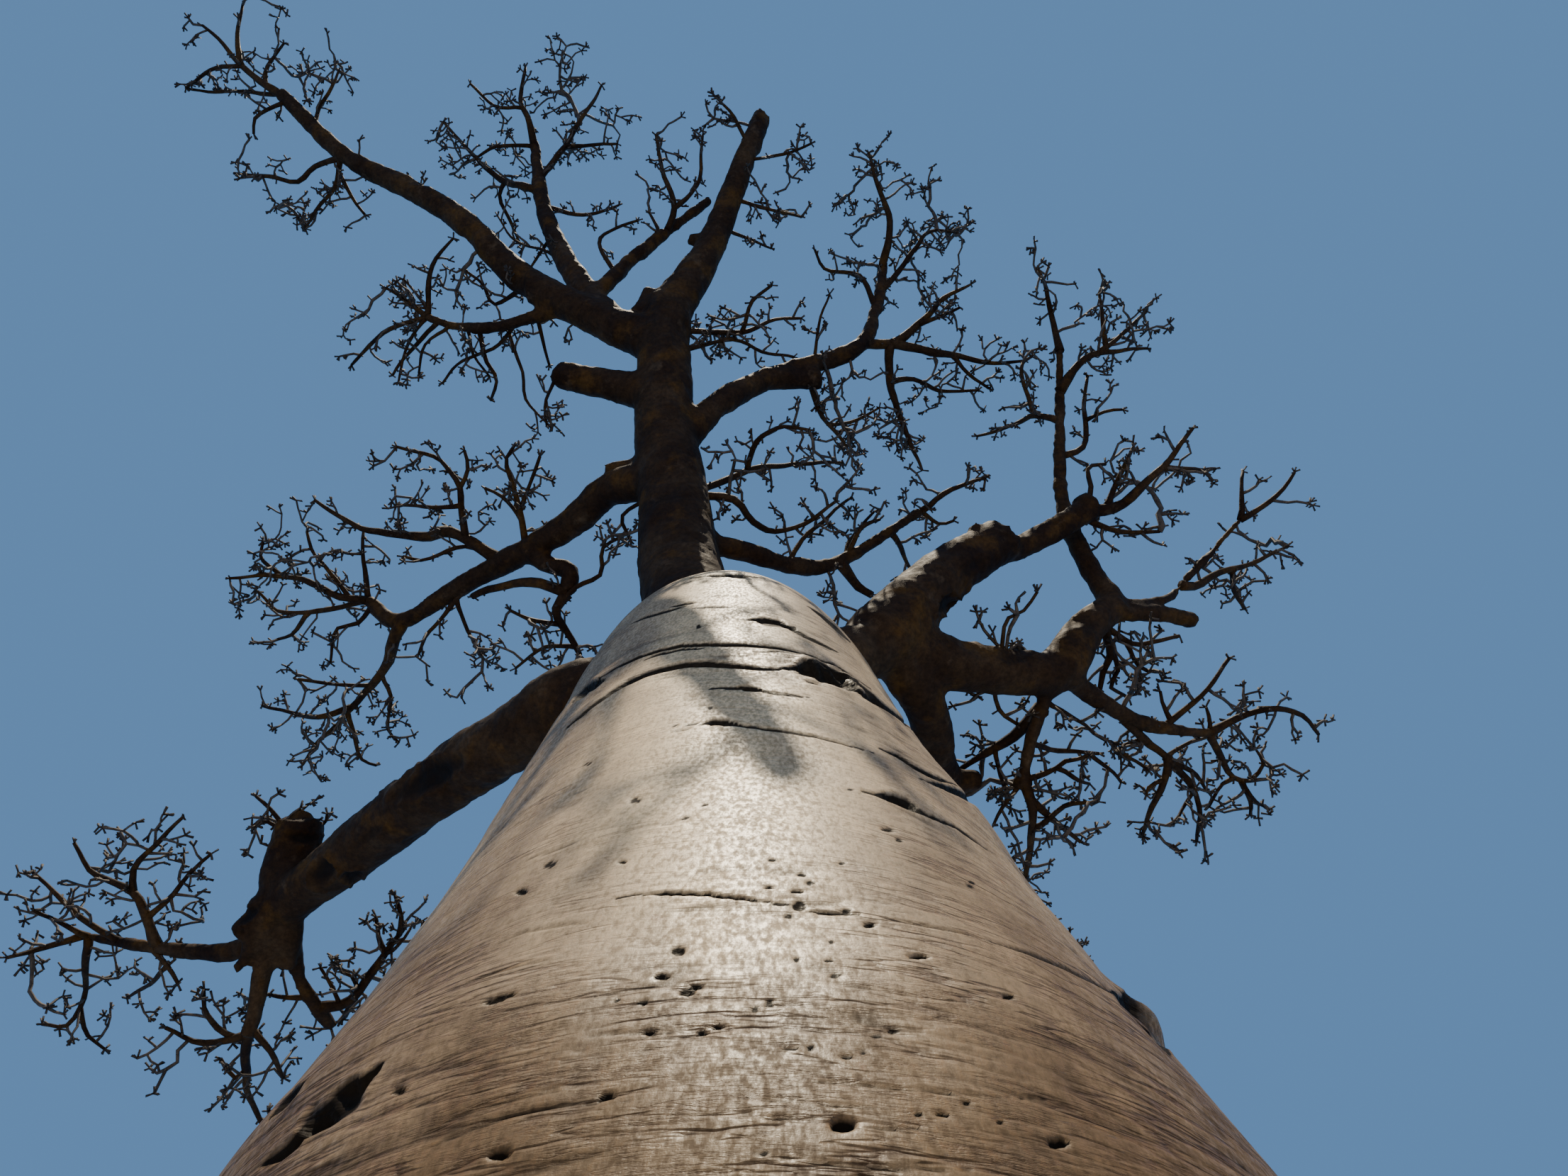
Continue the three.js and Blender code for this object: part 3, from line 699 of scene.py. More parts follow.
def gaps_between(places, others):
    """The distance from each place to each of the others."""
    return np.linalg.norm(places[:, None] - others[None], axis=2)


def inside_box(places, low, high):
    """The numbers of the places that lie between two corners of a box."""
    return np.flatnonzero(np.all((places > low) & (places < high), axis=1))


# The camera's view


def camera_axes():
    """The camera's direction, its upward direction, and its focal length in pixels."""
    pitch = math.radians(CAMERA_PITCH)
    ahead = np.array((0, math.cos(pitch), math.sin(pitch)))
    up = np.array((0, -math.sin(pitch), math.cos(pitch)))
    return ahead, up, CAMERA_LENS / SENSOR_WIDTH * PHOTO_SIZE[0]


def seen_at(points):
    """The pixels of the photograph where the camera sees the points."""
    ahead, up, focal = camera_axes()
    away = points - np.array(CAMERA_PLACE)
    scale = focal / (away @ ahead)
    right, above = away[:, 0] * scale, (away @ up) * scale
    return np.stack([PHOTO_SIZE[0] / 2 + right, PHOTO_SIZE[1] / 2 - above], axis=1)


def point_seen_at(pixel, height):
    """The point at that height that the camera sees at the pixel."""
    ahead, up, focal = camera_axes()
    way = focal * ahead + (PHOTO_SIZE[1] / 2 - pixel[1]) * up
    way[0] += pixel[0] - PHOTO_SIZE[0] / 2
    place = np.array(CAMERA_PLACE)
    return place + way * (height - place[2]) / way[2]


# Meshes


def add_object(name, data):
    """A new object of the scene."""
    obj = bpy.data.objects.new(name, data)
    bpy.context.scene.collection.objects.link(obj)
    return obj


def new_object(name, corners, faces, smooth=True):
    """A mesh object from corners and faces."""
    mesh = bpy.data.meshes.new(name)
    mesh.from_pydata(np.asarray(corners).tolist(), [], faces)
    mesh.update()
    if smooth:
        mesh.shade_smooth()
    return add_object(name, mesh)


def grid_faces(rows, columns, start=0):
    """Four-sided faces between rings of corners that close round."""
    row = np.arange(rows - 1)[:, None] * columns + start
    a = row + np.arange(columns)
    b = row + (np.arange(columns) + 1) % columns
    return np.stack([a, b, b + columns, a + columns], axis=2).reshape(-1, 4)


def tube_faces(rings, sides):
    """Faces of a tube: those between its rings, and one at each end."""
    faces = grid_faces(rings, sides).tolist()
    faces.append(list(range(sides))[::-1])
    faces.append([(rings - 1) * sides + k for k in range(sides)])
    return faces


def circle(sides):
    """Cosine and sine of even angles round a circle."""
    angle = np.arange(sides) * 2 * math.pi / sides
    return np.cos(angle), np.sin(angle)


def level_ring(radius, height, sides):
    """Corners of a level ring round the Z axis."""
    cosine, sine = circle(sides)
    return np.stack([radius * cosine, radius * sine, 0 * cosine + height], axis=1)


def spokes(across, other, sides):
    """Directions that stand out round a line, from two directions across it at each place."""
    cosine, sine = circle(sides)
    return across[:, None] * cosine[:, None] + other[:, None] * sine[:, None]


def tube(points, radii, sides, seed=0, wobble=0.0):
    """Corners and faces of a closed tube round a line of points."""
    out = spokes(*ways_across(points), sides)
    reach = np.asarray(radii)[:, None, None]
    corners = points[:, None] + out * reach
    if wobble:
        shift = noise(corners.reshape(-1, 3), max(radii) * WOBBLE_SIZE, seed)
        corners += out * shift.reshape(len(points), sides, 1) * wobble * reach
    return corners.reshape(-1, 3), tube_faces(len(points), sides)


def surface_normals(corners, faces):
    """The normal at each corner of a smooth surface."""
    whole = new_object("whole", corners, faces)
    values = np.empty(len(corners) * 3, dtype=np.float32)
    whole.data.vertex_normals.foreach_get("vector", values)
    bpy.data.objects.remove(whole)
    return values.reshape(-1, 3)


def cut_piece(name, corners, faces, normals, values):
    """A piece of a larger surface, with that surface's normals and the numbers for its material."""
    used = np.unique(np.concatenate([np.array(face) for face in faces]))
    place = np.zeros(len(corners), dtype=int)
    place[used] = np.arange(len(used))
    piece = new_object(name, corners[used], [place[list(face)].tolist() for face in faces])
    piece.data.normals_split_custom_set_from_vertices(normals[used].tolist())
    for kind, numbers in values.items():
        layer = piece.data.attributes.new(kind, "FLOAT", "POINT")
        layer.data.foreach_set("value", np.asarray(numbers[used], dtype=np.float32))
    return piece


class Heap:
    """Collects corners and faces of many shapes for one joined mesh."""

    def __init__(self):
        self.corners = []
        self.faces = []
        self.count = 0
        self.triangles = 0

    def add(self, corners, faces):
        """Takes in one shape."""
        self.corners.append(corners)
        self.faces.extend([[i + self.count for i in face] for face in faces])
        self.count += len(corners)
        self.triangles += sum(len(face) - 2 for face in faces)

    def make(self, name):
        """Makes the joined mesh."""
        return new_object(name, np.concatenate(self.corners), self.faces)


# Trunk


# Bands of the trunk's surface from the ground up: height of the top, step up, step round in degrees
# on the camera's side, how far that side goes, and step round behind it
TRUNK_BANDS = (
    (2.30, 0.0450, 2.40, 60, 3.0),
    (3.45, 0.0062, 0.36, 62, 2.4),
    (7.50, 0.0135, 0.75, 62, 2.4),
)

# The trunk's profile: how many points draw it, the step that its slope is measured over, the
# radius of its last ring, and how the relief fades toward the ground and toward that ring
PROFILE_POINTS = 1500
SLOPE_STEP = 0.1
TOP_RADIUS = 0.004
GROUND_FADE = 0.05
TOP_FADE = 0.15


def profile_bands():
    """The trunk's profile, smooth, as radius and height, for each band, with its steps."""
    knots = np.array([(radius, height) for height, radius in TRUNK_PROFILE])
    fine = curve_points(knots, PROFILE_POINTS)
    along = lengths_along(fine)
    bands = []
    start = 0.0
    for top, step, *_ in TRUNK_BANDS:
        end = np.interp(top, fine[:, 1], along)
        places = np.linspace(start, end, round((end - start) / step) + 1)
        bands.append(points_at(fine, along, places))
        start = end + step
    bands[-1][-1, 0] = TOP_RADIUS
    return bands


def angles_round(front_step, front, back_step):
    """Angles round the trunk from the camera's side, closest together on that side."""
    angles = [-180.0]
    while angles[-1] < 180:
        angles.append(angles[-1] + (front_step if abs(angles[-1]) < front else back_step))
    return np.radians(angles[:-1])


def zipped(angles, start, angles_above, start_above):
    """Triangles between two rings that have their corners at different angles."""
    count, count_above = len(angles), len(angles_above)
    ends, ends_above = np.append(angles[1:], math.pi), np.append(angles_above[1:], math.pi)
    faces = []
    i = k = 0
    while i < count or k < count_above:
        low, high = start + i % count, start_above + k % count_above
        if k == count_above or (i < count and ends[i] <= ends_above[k]):
            faces.append((low, start + (i + 1) % count, high))
            i += 1
        else:
            faces.append((low, start_above + (k + 1) % count_above, high))
            k += 1
    return faces


# Grooves seen in the bark: half-width in pixels of the photograph, depth, and the pixels passed
GROOVES = (
    (1.6, 0.016, (973, 815), (1000, 811), (1030, 811), (1055, 812), (1080, 815)),
    (2.2, 0.012, (1020, 811), (1040, 812), (1060, 813)),
    (1.2, 0.008, (945, 855), (965, 850), (985, 847)),
    (1.2, 0.008, (975, 857), (1000, 855), (1040, 856)),
    (1.4, 0.008, (890, 880), (910, 870), (935, 862), (970, 852)),
    (1.8, 0.012, (1040, 872), (1080, 872), (1115, 883), (1135, 893), (1160, 905), (1185, 918)),
    (3.4, 0.022, (1062, 872), (1080, 874), (1100, 877), (1117, 884)),
    (1.8, 0.014, (1140, 855), (1160, 868), (1180, 885), (1200, 905)),
    (1.9, 0.016, (835, 963), (870, 940), (900, 925), (930, 915), (960, 908), (1000, 906),
     (1050, 907), (1100, 912), (1140, 922), (1180, 938), (1230, 970)),
    (1.1, 0.009, (900, 931), (930, 920), (960, 913), (1000, 911)),
    (1.2, 0.009, (1050, 918), (1100, 920), (1130, 926), (1170, 942), (1210, 962)),
    (3.3, 0.026, (800, 1026), (830, 1000), (860, 976), (885, 960), (910, 948), (935, 940),
     (965, 933), (1000, 932), (1040, 935), (1080, 940), (1125, 942)),
    (6.5, 0.050, (1105, 940), (1135, 943), (1160, 949), (1190, 960), (1215, 976)),
    (2.4, 0.020, (1200, 968), (1215, 976), (1240, 990), (1265, 1006), (1290, 1026)),
    (1.6, 0.012, (1140, 935), (1160, 938), (1180, 947), (1200, 958), (1230, 980), (1290, 1030)),
    (4.2, 0.034, (808, 990), (825, 970), (840, 962), (852, 958)),
    (1.5, 0.010, (1000, 970), (1050, 970), (1095, 977), (1145, 983)),
    (2.9, 0.018, (1040, 969), (1060, 970), (1078, 974)),
    (1.6, 0.010, (950, 1023), (985, 1021), (1050, 1024), (1110, 1032), (1150, 1038), (1240, 1062)),
    (3.4, 0.020, (990, 1021), (1005, 1018), (1020, 1018), (1045, 1023)),
    (1.2, 0.006, (940, 1032), (960, 1029), (975, 1029)),
    (2.0, 0.014, (1240, 1052), (1270, 1065), (1290, 1080), (1320, 1098), (1345, 1112)),
    (2.2, 0.014, (1300, 1098), (1330, 1110), (1350, 1122), (1380, 1145), (1400, 1170)),
    (2.2, 0.012, (1385, 1150), (1410, 1180), (1435, 1212), (1455, 1240)),
    (1.6, 0.010, (1195, 1110), (1225, 1115), (1320, 1152), (1350, 1165), (1400, 1200)),
    (4.0, 0.024, (1240, 1118), (1260, 1123), (1280, 1130), (1300, 1142)),
    (1.0, 0.003, (898, 1167), (920, 1163), (950, 1161), (1010, 1160)),
    (1.6, 0.004, (740, 1212), (780, 1198), (800, 1190), (822, 1182)),
    (1.7, 0.009, (870, 1265), (900, 1260), (940, 1257), (1000, 1258), (1040, 1262), (1122, 1271)),
    (1.6, 0.008, (1130, 1275), (1160, 1281), (1190, 1283), (1220, 1285)),
    (1.4, 0.004, (1240, 1289), (1290, 1300), (1350, 1312), (1400, 1326)),
    (2.0, 0.003, (1040, 1405), (1090, 1408), (1150, 1412)),
    (2.2, 0.0035, (810, 1458), (850, 1450), (900, 1448), (960, 1447)),
    (2.2, 0.0035, (1095, 1511), (1150, 1518), (1200, 1523), (1280, 1530), (1400, 1542),
     (1480, 1545)),
    (2.4, 0.0035, (1030, 1537), (1100, 1547), (1180, 1553), (1260, 1560)),
    (2.4, 0.0035, (1040, 1565), (1110, 1573), (1175, 1578)),
    (2.2, 0.003, (1200, 1583), (1260, 1586), (1330, 1586)),
    (2.6, 0.0035, (1060, 1620), (1150, 1632), (1260, 1640), (1400, 1646)),
    (2.0, 0.003, (700, 1330), (740, 1312), (800, 1300), (840, 1296)),
    (2.0, 0.003, (640, 1400), (690, 1375), (740, 1358), (800, 1345)),
    (2.4, 0.003, (560, 1640), (640, 1600), (720, 1570), (800, 1552), (900, 1548)),
    (2.2, 0.005, (1390, 1325), (1450, 1342), (1500, 1362), (1545, 1384), (1600, 1418)),
    (6.0, 0.016, (1570, 1398), (1600, 1422), (1625, 1450), (1650, 1486)),
    (4.0, 0.014, (544, 1504), (530, 1517), (512, 1533), (500, 1545)),
    (12.5, 0.028, (524, 1524), (504, 1540), (486, 1558), (468, 1576), (446, 1594), (420, 1614)),
    (5.4, 0.018, (440, 1600), (418, 1616), (396, 1634), (370, 1650)),
    (4.0, 0.012, (440, 1535), (415, 1558), (390, 1585)),
)

# Pits seen in the bark: the pixel of the photograph, and half-width and half-height in pixels
PITS = (
    (1190, 1580, 16, 9), (855, 1541, 10, 5), (956, 1332, 9, 6), (932, 1368, 10, 3.2),
    (968, 1389, 10, 5), (982, 1381, 8, 4), (1228, 1299, 8, 3.4), (1128, 1271, 7, 6),
    (1113, 1284, 5, 3.4), (905, 1405, 6, 3.4), (871, 1403, 4, 3.4), (915, 1447, 9, 3),
    (990, 1446, 9, 3), (1012, 1437, 10, 2.8), (1260, 1444, 7, 3.2), (1423, 1404, 8, 3),
    (1125, 1343, 5, 2.6), (1170, 1346, 5, 2.2), (1180, 1366, 7, 2.2), (1297, 1345, 13, 2.6),
    (1195, 1279, 6, 2.6), (1174, 1320, 4, 2.4), (1115, 1470, 9, 2.6), (1145, 1469, 6, 4),
    (1218, 1475, 5, 2.4), (1195, 1484, 7, 2.4), (1065, 1414, 6, 3.6), (1085, 1405, 5, 5),
    (1238, 1452, 4, 4), (702, 1625, 14, 6), (563, 1540, 8, 4), (692, 1415, 8, 3.4),
    (706, 1409, 8, 3.8), (720, 1403, 7, 3), (775, 1218, 6, 3.6), (1495, 1609, 13, 5),
    (735, 1257, 8, 4), (985, 881, 3.2, 2.6), (895, 1127, 7, 3.8), (992, 1133, 3.4, 2.2),
    (968, 1152, 8, 2), (1255, 1167, 9, 2.4), (1268, 1181, 6, 2.4), (878, 1215, 6, 2.2),
    (1090, 1212, 6, 2.2), (1132, 1231, 6, 2), (1143, 1243, 6, 2.6), (1125, 1254, 10, 2),
    (1085, 1249, 7, 2), (1001, 997, 5, 1.6), (828, 1075, 4, 2), (1188, 1216, 4, 2.2),
    (1330, 1567, 9, 3), (1300, 1566, 6, 2.4), (1365, 1552, 5, 3), (1372, 1242, 3, 4),
    (1120, 884, 4, 2.6), (1413, 1580, 5, 2.6), (1075, 1620, 5, 3), (1220, 1655, 12, 3),
)
STRAY_PITS = 260
STRAY_SIZE = (0.010, 0.020)
STRAY_HEIGHT = (0.3, 6.8)
PIT_DEPTH = 0.0008

# A groove's lip as a part of its depth, and the depth from which a groove gets its full painted
# shade
LIP = 0.08
FULL_SHADE_DEPTH = 0.012

# The half-width from which a groove is a gash, ragged, with painted shade out to its edge
GASH = 5.5

# The bark that the camera sees: where it begins above the ground, how far round it goes in
# radians, and how squarely the bark has to face the camera for its marks to fade in
SEEN_FROM = 2.25
SEEN_ROUND = 1.4
EDGE_ON = 0.04

# The bark that stray pits leave free: how far round in degrees, and from what height
FREE_ROUND = 60
FREE_FROM = 2.3

# Lumps of the trunk: how far they stand out, their size along X, Y and Z, and their seed
TRUNK_LUMPS = (
    (0.012, (1.1, 1.1, 1.3), 11),
    (0.005, (0.45, 0.45, 0.22), 12),
)

# Wrinkles: their share, size along X, Y and Z, sharpness and seed; their depth; how much painted
# shade they get
WRINKLES = (
    (1.0, (0.26, 0.26, 0.050), 0.16, 15),
    (0.7, (0.14, 0.14, 0.030), 0.20, 16),
)
WRINKLE_DEPTH = 0.0022
WRINKLE_SHADE = 0.22

# Swellings: angle, height, half-width in degrees, half-height, how far it stands out
SWELLINGS = (
    (58, 3.54, 5, 0.05, 0.038),
    (52, 4.40, 12, 0.30, 0.016),
    (22, 5.06, 15, 0.07, 0.022),
    (-34, 3.02, 16, 0.10, 0.014),
    (-60, 1.60, 22, 0.50, 0.050),
    (120, 3.80, 26, 0.60, 0.050),
    (175, 2.40, 24, 0.45, 0.060),
    (-125, 4.40, 26, 0.50, 0.050),
)

# The pale band up the front of the trunk, a painted highlight where the sun's sheen falls: its
# middle and half-width in degrees
SHEEN_BAND_MIDDLE = -4
SHEEN_BAND_WIDTH = 17


def groove_shares(pixels, route):
    """For each pixel its distance to a route, and how far along the route that is, from 0 to 1."""
    route = np.array(route, dtype=float)
    runs = np.linalg.norm(np.diff(route, axis=0), axis=1)
    before = lengths_along(route)
    best, share = np.full(len(pixels), np.inf), np.zeros(len(pixels))
    for k, run in enumerate(runs):
        way = (route[k + 1] - route[k]) / run
        along = np.clip((pixels - route[k]) @ way, 0, run)
        gap = np.linalg.norm(pixels - route[k] - along[:, None] * way, axis=1)
        nearer = gap < best
        best[nearer] = gap[nearer]
        share[nearer] = (before[k] + along[nearer]) / before[-1]
    return best, share


def toward_camera(angle, places):
    """How squarely the trunk's smooth surface faces the camera at each place, 1 being head-on."""
    heights, radii = zip(*TRUNK_PROFILE)
    above = np.interp(places[:, 2] + SLOPE_STEP, heights, radii)
    below = np.interp(places[:, 2] - SLOPE_STEP, heights, radii)
    slope = (below - above) / (2 * SLOPE_STEP)
    normal = unit(np.stack([np.sin(angle), -np.cos(angle), slope], axis=1))
    return np.sum(normal * unit(np.array(CAMERA_PLACE) - places), axis=1)


def groove_marks(pixels, places):
    """For each groove the corners near it, its depth there, and how much painted shade it gets
    there.
    """
    for half, deep, *route in GROOVES:
        low, high = np.min(route, axis=0) - 4 * half, np.max(route, axis=0) + 4 * half
        near = inside_box(pixels, low, high)
        gap, share = groove_shares(pixels[near], route)
        mouth = half * np.clip(1.1 - (2 * share - 1) ** 2, 0.25, 1)
        edge = 1.15
        if half > GASH:
            mouth *= 1 + 0.5 * rough(places[near], 0.05, 18, 2)
            edge = 1.35
        s = gap / mouth
        dip = np.exp(-(s**2)) * mouth / half
        # Painted shade in the groove, darker the deeper it is
        dark = 1.2 * min(1.0, deep / FULL_SHADE_DEPTH)
        lip = LIP * np.exp(-((s - 2.0) ** 2))
        yield near, deep * (dip - lip), dark * np.exp(-((s / edge) ** 4))


def pit_marks(pixels):
    """For each pit the corners near it, its depth there, and how much painted shade it gets there.
    """
    for x, y, wide, tall in PITS:
        s = ((pixels[:, 0] - x) / wide) ** 2 + ((pixels[:, 1] - y) / tall) ** 2
        near = np.flatnonzero(s < 9)
        s = s[near]
        # Painted shade in the pit, a little wider than its dip
        yield near, PIT_DEPTH * wide * np.exp(-(s**2)), 1.4 * np.exp(-((s / 0.85) ** 2))


def seen_marks(angle, places):
    """Depth of the seen grooves and pits at each corner of the trunk, and the painted shade in
    them.
    """
    depth, hollow_shade = np.zeros(len(places)), np.zeros(len(places))
    squarely = toward_camera(angle, places)
    seen = (squarely > -EDGE_ON) & (np.abs(angle) < SEEN_ROUND) & (places[:, 2] > SEEN_FROM)
    facing = np.flatnonzero(seen)
    pixels = seen_at(places[facing])
    for near, deep, dark in (*groove_marks(pixels, places[facing]), *pit_marks(pixels)):
        depth[facing[near]] += deep
        hollow_shade[facing[near]] += dark
    fade = np.clip((squarely + EDGE_ON) / (2 * EDGE_ON), 0, 1)
    return depth * fade, hollow_shade * fade


def turned_from(degrees, centre):
    """How many degrees each angle is turned from a centre, from -180 to 180."""
    return (degrees - centre + 180) % 360 - 180


def trunk_relief(angle, height, places):
    """How far the bark stands out at each corner of the trunk, and how much painted shade it gets
    in grooves, pits and wrinkles.
    """
    degrees = np.degrees(angle)
    out = sum(rise * noise(places, size, seed) for rise, size, seed in TRUNK_LUMPS)
    bend = 0.015 * noise(places, (0.5, 0.5, 0.3), 14)
    bent = places + bend[:, None] * (0, 0, 1)
    patch = np.clip(0.5 + 1.2 * noise(places, (0.35, 0.35, 0.18), 17), 0, 1)
    wrinkle = sum(
        part * np.exp(-((noise(bent, size, seed) / sharp) ** 2))
        for part, size, sharp, seed in WRINKLES
    )
    out -= WRINKLE_DEPTH * wrinkle * patch
    depth, hollow_shade = seen_marks(angle, places + (places[:, 2:] * (TRUNK_LEAN, 0, 0)))
    out -= depth
    # Painted shade in the wrinkles
    hollow_shade += WRINKLE_SHADE * wrinkle * patch
    for centre, middle, half, spread, rise in SWELLINGS:
        turned = turned_from(degrees, centre)
        out += rise * np.exp(-((turned / half) ** 2) - ((height - middle) / spread) ** 2)
    add_stray_pits(out, hollow_shade, degrees, height)
    return out, np.clip(hollow_shade, 0, 1)


def add_stray_pits(out, hollow_shade, degrees, height):
    """Sinks pits into the bark that the camera doesn't see, and paints shade in them."""
    radius = np.interp(height, *zip(*TRUNK_PROFILE))
    for centre, middle, wide, tall in stray_pits():
        turned = turned_from(degrees, centre)
        s = (np.radians(turned) * radius / wide) ** 2 + ((height - middle) / tall) ** 2
        near = s < 9
        rim = 0.35 * np.exp(-((s[near] - 2.2) ** 2))
        out[near] += wide * 0.5 * (rim - np.exp(-(s[near] ** 2)))
        # Painted shade in the pit
        hollow_shade[near] += np.exp(-(s[near] ** 2))


def stray_pits():
    """Pits that the camera doesn't see: angle, height, half-width and half-height."""
    rng = rng_for("pits")
    pits = []
    for _ in range(STRAY_PITS):
        angle, height = rng.uniform(-180, 180), rng.uniform(*STRAY_HEIGHT)
        if abs(angle) < FREE_ROUND and height > FREE_FROM:
            continue
        size = rng.uniform(*STRAY_SIZE)
        pits.append((angle, height, size, size * rng.uniform(0.6, 1.2)))
    return pits


def bark_tone_and_sheen(angle, height, places):
    """How pale the bark is at each corner of the trunk, from brown at 0 to cream at 1: paler above
    and darker toward the foot, with a painted highlight as a pale band up the sunlit front, and a
    little painted light on that front higher up.
    """
    degrees = np.degrees(angle)
    # Painted highlight: a pale band up the front where the sun's sheen falls, from where the camera
    # sees the bark upward
    band = np.exp(-(((degrees - SHEEN_BAND_MIDDLE) / SHEEN_BAND_WIDTH) ** 2))
    band *= np.clip((height - SEEN_FROM) / 0.75, 0, 1)
    upper = np.clip((height - 2.9) / 0.9, 0, 1)
    foot = np.clip((3.0 - height) / 0.5, 0, 1)
    tone_and_sheen = 0.17 - 0.12 * foot + (0.50 - 0.42 * foot) * band
    # Paler above; the extra paleness toward the sunlit front is painted light
    tone_and_sheen += 0.44 * upper * (0.80 + 0.20 * np.exp(-((degrees / 45) ** 2)))
    patches = 0.14 * rough(places, (0.25, 0.25, 0.40), 19)
    tone_and_sheen += patches + 0.08 * noise(places, (0.05, 0.05, 0.30), 22)
    return np.clip(tone_and_sheen, 0, 1)


def make_trunk():
    """The trunk in pieces from the ground up, with its bark's relief."""
    lines = profile_bands()
    rings = [angles_round(*band[2:]) for band in TRUNK_BANDS]
    parts, hollow_shades, tones_and_sheen = zip(*map(band_surface, lines, rings))
    starts = np.cumsum([0] + [len(part) for part in parts]).tolist()
    faces = []
    for k, line in enumerate(lines):
        band = grid_faces(len(line), len(rings[k]), starts[k]).tolist()
        if k:
            band = zipped(rings[k - 1], starts[k] - len(rings[k - 1]), rings[k], starts[k]) + band
        faces.append(band)
    faces[0].append(list(range(len(rings[0])))[::-1])
    faces[-1].append(list(range(starts[-1] - len(rings[-1]), starts[-1])))
    corners = np.concatenate(parts)
    normals = surface_normals(corners, sum(faces, []))
    values = {"hollow_shade": np.concatenate(hollow_shades), "tone_and_sheen": np.concatenate(tones_and_sheen)}
    return [
        cut_piece(f"trunk_bark_{k + 1}", corners, band, normals, values)
        for k, band in enumerate(faces)
    ]


def band_surface(line, angles):
    """Corners of one band of the trunk, how much painted shade each gets in grooves, pits and
    wrinkles, and how pale it is, painted highlight included.
    """
    slope = unit(np.gradient(line, axis=0))
    height = np.repeat(line[:, 1], len(angles))
    angle = np.tile(angles, len(line))
    base = np.repeat(line[:, 0], len(angles))
    lobes = np.cos(FLARE_LOBES * (angle - math.pi / 2)) * np.exp(-height / FLARE_HEIGHT)
    radius = base * (1 + FLARE_DEPTH * lobes)
    ring = np.stack([np.sin(angle), -np.cos(angle)], axis=1)
    flat = np.concatenate([ring * radius[:, None], height[:, None]], axis=1)
    out, hollow_shade = trunk_relief(angle, height, flat)
    out *= np.clip(height / GROUND_FADE, 0, 1) * np.clip(base / TOP_FADE, 0, 1)
    level = np.repeat(slope[:, 1], len(angles))
    rise = np.repeat(-slope[:, 0], len(angles))
    corners = flat.copy()
    corners[:, :2] += ring * (out * level)[:, None]
    corners[:, 2] += out * rise
    corners[:, 0] += TRUNK_LEAN * flat[:, 2]
    return corners, hollow_shade, bark_tone_and_sheen(angle, height, flat)


# Boughs


def limb_radii(points, radii):
    """Radius along a limb, with a collar at its foot."""
    along = lengths_along(points)
    taper = np.interp(along, (0, along[-1]), radii)
    collar = COLLAR_RISE * np.exp(-((along / (COLLAR_LENGTH * radii[0])) ** 2))
    return taper * (1 + collar)


def break_end(points, corners, sides, radius, rng):
    """Makes the last ring of a tube ragged, as wood that broke off."""
    ahead = unit(points[-1] - points[-2])
    for corner in corners[-sides:]:
        corner += ahead * radius * BREAK_DEPTH * rng.uniform(-1, 1)
    return corners


def limb_tube(name, knots, radii):
    """Corners and faces of one limb."""
    points = walk(knots, RING_STEP)
    sides = STOUT_SIDES if radii[0] > STOUT_RADIUS else THIN_SIDES
    girth = limb_radii(points, radii)
    girth *= 1 + SWING * noise(points, radii[0] * SWING_SIZE, 21)
    corners, faces = tube(points, girth, sides, seed=23, wobble=LIMB_WOBBLE)
    if name in BROKEN:
        corners = break_end(points, corners, sides, girth[-1], rng_for(name))
    return corners, faces


def knob_tube(knob, lines, index):
    """Corners and faces of one knob or short dead stub."""
    carrier, t, radii, reach = knob
    foot = curve_point(lines[carrier], t)[0]
    tip = foot + reach_vector(reach)
    points = walk(np.array([foot, (foot + tip) / 2, tip]), KNOB_STEP)
    girth = np.interp(np.arange(len(points)), (0, len(points) - 1), radii)
    corners, faces = tube(points, girth, KNOB_SIDES, seed=31 + index, wobble=KNOB_WOBBLE)
    rng = rng_for(f"{carrier}{index}")
    return break_end(points, corners, KNOB_SIDES, girth[-1], rng), faces


def trunk_core():
    """Corners and faces of the top of the trunk, inside its bark, for the boughs to grow from."""
    rings = []
    for height, radius in TRUNK_PROFILE:
        if CORE_BOTTOM < height < CORE_TOP:
            ring = level_ring(radius - CORE_INSET, height, CORE_SIDES)
            ring[:, 0] += TRUNK_LEAN * height
            rings.append(ring)
    return np.concatenate(rings), tube_faces(len(rings), CORE_SIDES)


def remeshed(obj, voxel):
    """Corners and faces of the outer surface of an object, as small squares."""
    modifier = obj.modifiers.new("skin", "REMESH")
    modifier.mode = "VOXEL"
    modifier.voxel_size = voxel
    modifier.adaptivity = 0
    evaluated = obj.evaluated_get(bpy.context.evaluated_depsgraph_get())
    mesh = evaluated.to_mesh()
    corners = np.empty(len(mesh.vertices) * 3, dtype=np.float32)
    mesh.vertices.foreach_get("co", corners)
    loops = np.empty(len(mesh.loops), dtype=np.int32)
    mesh.loops.foreach_get("vertex_index", loops)
    evaluated.to_mesh_clear()
    return corners.reshape(-1, 3).astype(float), loops.reshape(-1, 4)


